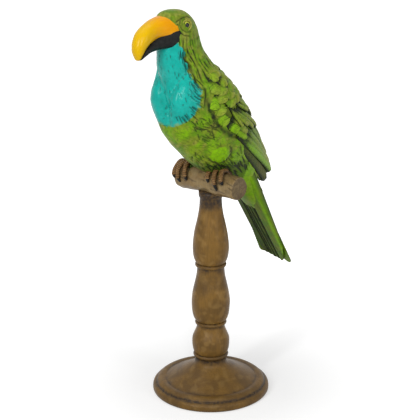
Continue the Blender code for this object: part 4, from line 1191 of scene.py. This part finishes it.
def make_stage(sizes):
    """Floor, even room light, four softboxes and the photograph's camera."""
    scene = bpy.context.scene
    make_floor(sizes)
    world = bpy.data.worlds.new("studio")
    world.use_nodes = True
    tree = world.node_tree
    tree.nodes.clear()
    strength = node(tree, "ShaderNodeMapRange",
                    {"Value": seen_as_white(tree), "To Min": sizes.room_light, "To Max": 1.0}).outputs["Result"]
    shade = node(tree, "ShaderNodeBackground", {"Color": (1.0, 1.0, 1.0), "Strength": strength})
    node(tree, "ShaderNodeOutputWorld", {"Surface": shade.outputs[0]})
    scene.world = world
    for lamp in LAMPS:
        add_lamp(*lamp)

    camera = bpy.data.cameras.new("camera")
    camera.lens = CAMERA_LENS
    camera.sensor_width = CAMERA_FILM
    camera.shift_x = CAMERA_SHIFT
    camera.clip_start = 0.05
    holder = bpy.data.objects.new("camera", camera)
    turn = (Matrix.Rotation(math.radians(CAMERA_AZIMUTH), 4, 'Z')
            @ Matrix.Rotation(math.radians(90.0 - CAMERA_PITCH), 4, 'X'))
    holder.matrix_world = Matrix.Translation(CAMERA_PLACE) @ turn
    scene.collection.objects.link(holder)
    scene.camera = holder
    scene.view_settings.view_transform = 'Standard'


# What a user can change

def colour_property(name, code, text):
    """A colour that the panel shows, with an sRGB hex default."""
    return FloatVectorProperty(name=name, description=text, subtype='COLOR', size=3, min=0.0, max=1.0,
                               default=linear(code))


class FigurineSizes(PropertyGroup):
    """Sizes and light that a user would change."""
    base_radius: FloatProperty(name="Base radius", description="Radius of the round base", unit='LENGTH',
                               default=round(CAD_BOX[1][0], 5))
    log_radius: FloatProperty(name="Log radius", description="Radius of the log under the feet", unit='LENGTH',
                              default=0.0120)
    log_height: FloatProperty(name="Log height", description="Height of the log's middle over the table",
                              unit='LENGTH', default=0.2270)
    floor_glow: FloatProperty(name="Floor glow", description="Light that the floor by the base sends to the camera",
                              subtype='FACTOR', default=0.49)
    room_light: FloatProperty(name="Room light", description="Even light from all round", subtype='FACTOR',
                              default=0.26)


class FigurineColours(PropertyGroup):
    """Main colours of the painting."""
    green: colour_property("Green", "#67920F", "Main green of the feathers")
    olive: colour_property("Olive", "#879925", "Second green, in patches")
    lime: colour_property("Lime", "#86BC00", "Bright strokes and tufts")
    scale_edge: colour_property("Scale edge", "#AAAA48", "Dry-brushed tips of the scales")
    turquoise: colour_property("Turquoise", "#00AC9E", "Bib")
    # Wash also colours the painted shade under the body, inside the wings, along the wing's lower edge and under the
    # tail
    wash: colour_property("Wash", "#1A2409", "Dark wash in the cuts of the green")
    beak: colour_property("Beak", "#F2A400", "Upper beak near the face")
    beak_tip: colour_property("Beak tip", "#E2B400", "Upper beak towards its tip")
    wood: colour_property("Wood", "#84622C", "Post")
    wood_deep: colour_property("Deep wood", "#6B4F26", "Darker patches of the post")
    # Wood wash also colours the painted shadow of the feet on the log's top
    wood_wash: colour_property("Wood wash", "#33281E", "Dark glaze in the creases of the post and the log")


def plumage(colours):
    """The feathers' paint, made on first use and shared by every green piece."""
    return bpy.data.materials.get("painted_plumage") or plumage_paint(colours)


class FIGURINE_OT_body(Operator):
    """Build the head, neck, body and legs"""
    bl_idname = "figurine.body"
    bl_label = "Body"
    bl_options = {'REGISTER', 'UNDO'}

    def execute(self, context):
        colours = context.scene.figurine_colours
        make_trunk(plumage(colours))
        make_legs(plumage(colours))
        return {'FINISHED'}


class FIGURINE_OT_wings(Operator):
    """Build both wings and the mantle between them"""
    bl_idname = "figurine.wings"
    bl_label = "Wings"
    bl_options = {'REGISTER', 'UNDO'}

    def execute(self, context):
        colours = context.scene.figurine_colours
        make_wing("wing_left", 1, plumage(colours))
        make_wing("wing_right", -1, plumage(colours))
        make_mantle(plumage(colours))
        return {'FINISHED'}


class FIGURINE_OT_tail(Operator):
    """Build the tail"""
    bl_idname = "figurine.tail"
    bl_label = "Tail"
    bl_options = {'REGISTER', 'UNDO'}

    def execute(self, context):
        colours = context.scene.figurine_colours
        make_tail(plumage(colours))
        return {'FINISHED'}


class FIGURINE_OT_head(Operator):
    """Build the beak and the eyes"""
    bl_idname = "figurine.head"
    bl_label = "Beak and eyes"
    bl_options = {'REGISTER', 'UNDO'}

    def execute(self, context):
        colours = context.scene.figurine_colours
        beak_half("upper_beak", CULMEN, GAPE, BEAK_HALF_WIDTH, True, beak_paint(colours), dark_line=0.9, flare=0.40)
        # The lower half's top edge lies inside the upper half
        inner = [(y + 0.0004, z + 0.0030) for y, z in GAPE[:-1]] + [(GAPE[-1][0] + 0.0004, GAPE[-1][1] + 0.0012)]
        black = plain_paint("painted_lower_beak", "#0E0F0E", "#1B1C1A", size_mm=3.0, roughness=0.42)
        beak_half("lower_beak", inner, CHIN, BEAK_HALF_WIDTH * 0.86, False, black, dark_line=0.0, flare=0.74)
        make_eyes(eye_paint(), plumage(colours))
        return {'FINISHED'}


class FIGURINE_OT_feet(Operator):
    """Build the toes and claws"""
    bl_idname = "figurine.feet"
    bl_label = "Feet"
    bl_options = {'REGISTER', 'UNDO'}

    def execute(self, context):
        make_feet(plain_paint("painted_toes", "#9A774C", "#7E5C36", size_mm=2.2, roughness=0.42, dark="#241708"),
                  plain_paint("painted_claws", "#0E0D0C", "#1B1815", size_mm=1.5, roughness=0.22))
        return {'FINISHED'}


class FIGURINE_OT_stand(Operator):
    """Build the log and the turned stand"""
    bl_idname = "figurine.stand"
    bl_label = "Log and stand"
    bl_options = {'REGISTER', 'UNDO'}

    def execute(self, context):
        sizes = context.scene.figurine_sizes
        colours = context.scene.figurine_colours
        make_log(wood_paint("painted_log", linear("#A08A62"), linear("#876F4C"), colours), sizes)
        make_stand(wood_paint("painted_post", colours.wood, colours.wood_deep, colours), sizes)
        return {'FINISHED'}


class FIGURINE_OT_stage(Operator):
    """Build the floor, lamps and camera"""
    bl_idname = "figurine.stage"
    bl_label = "Floor, lamps and camera"
    bl_options = {'REGISTER', 'UNDO'}

    def execute(self, context):
        sizes = context.scene.figurine_sizes
        make_stage(sizes)
        return {'FINISHED'}


OPERATORS = (FIGURINE_OT_body, FIGURINE_OT_wings, FIGURINE_OT_tail, FIGURINE_OT_head, FIGURINE_OT_feet,
             FIGURINE_OT_stand, FIGURINE_OT_stage)


class FIGURINE_PT_panel(Panel):
    """Sizes, colours and build steps in the sidebar of the 3D view"""
    bl_label = "Figurine"
    bl_idname = "FIGURINE_PT_panel"
    bl_space_type = 'VIEW_3D'
    bl_region_type = 'UI'
    bl_category = "Figurine"

    def draw(self, context):
        for group in (context.scene.figurine_sizes, context.scene.figurine_colours):
            for key in group.__annotations__:
                self.layout.prop(group, key)
        for operator in OPERATORS:
            self.layout.operator(operator.bl_idname)


CLASSES = (FigurineSizes, FigurineColours, *OPERATORS, FIGURINE_PT_panel)


def register():
    """Makes the classes and the scene's settings known to Blender."""
    for entry in CLASSES:
        bpy.utils.register_class(entry)
    bpy.types.Scene.figurine_sizes = PointerProperty(type=FigurineSizes)
    bpy.types.Scene.figurine_colours = PointerProperty(type=FigurineColours)


def unregister():
    """Takes away what register added."""
    del bpy.types.Scene.figurine_colours
    del bpy.types.Scene.figurine_sizes
    for entry in reversed(CLASSES):
        bpy.utils.unregister_class(entry)


def main():
    """Builds the figurine and its stage."""
    register()
    bpy.ops.figurine.body()
    bpy.ops.figurine.wings()
    bpy.ops.figurine.tail()
    bpy.ops.figurine.head()
    bpy.ops.figurine.feet()
    bpy.ops.figurine.stand()
    bpy.ops.figurine.stage()


if __name__ == "__main__":
    main()
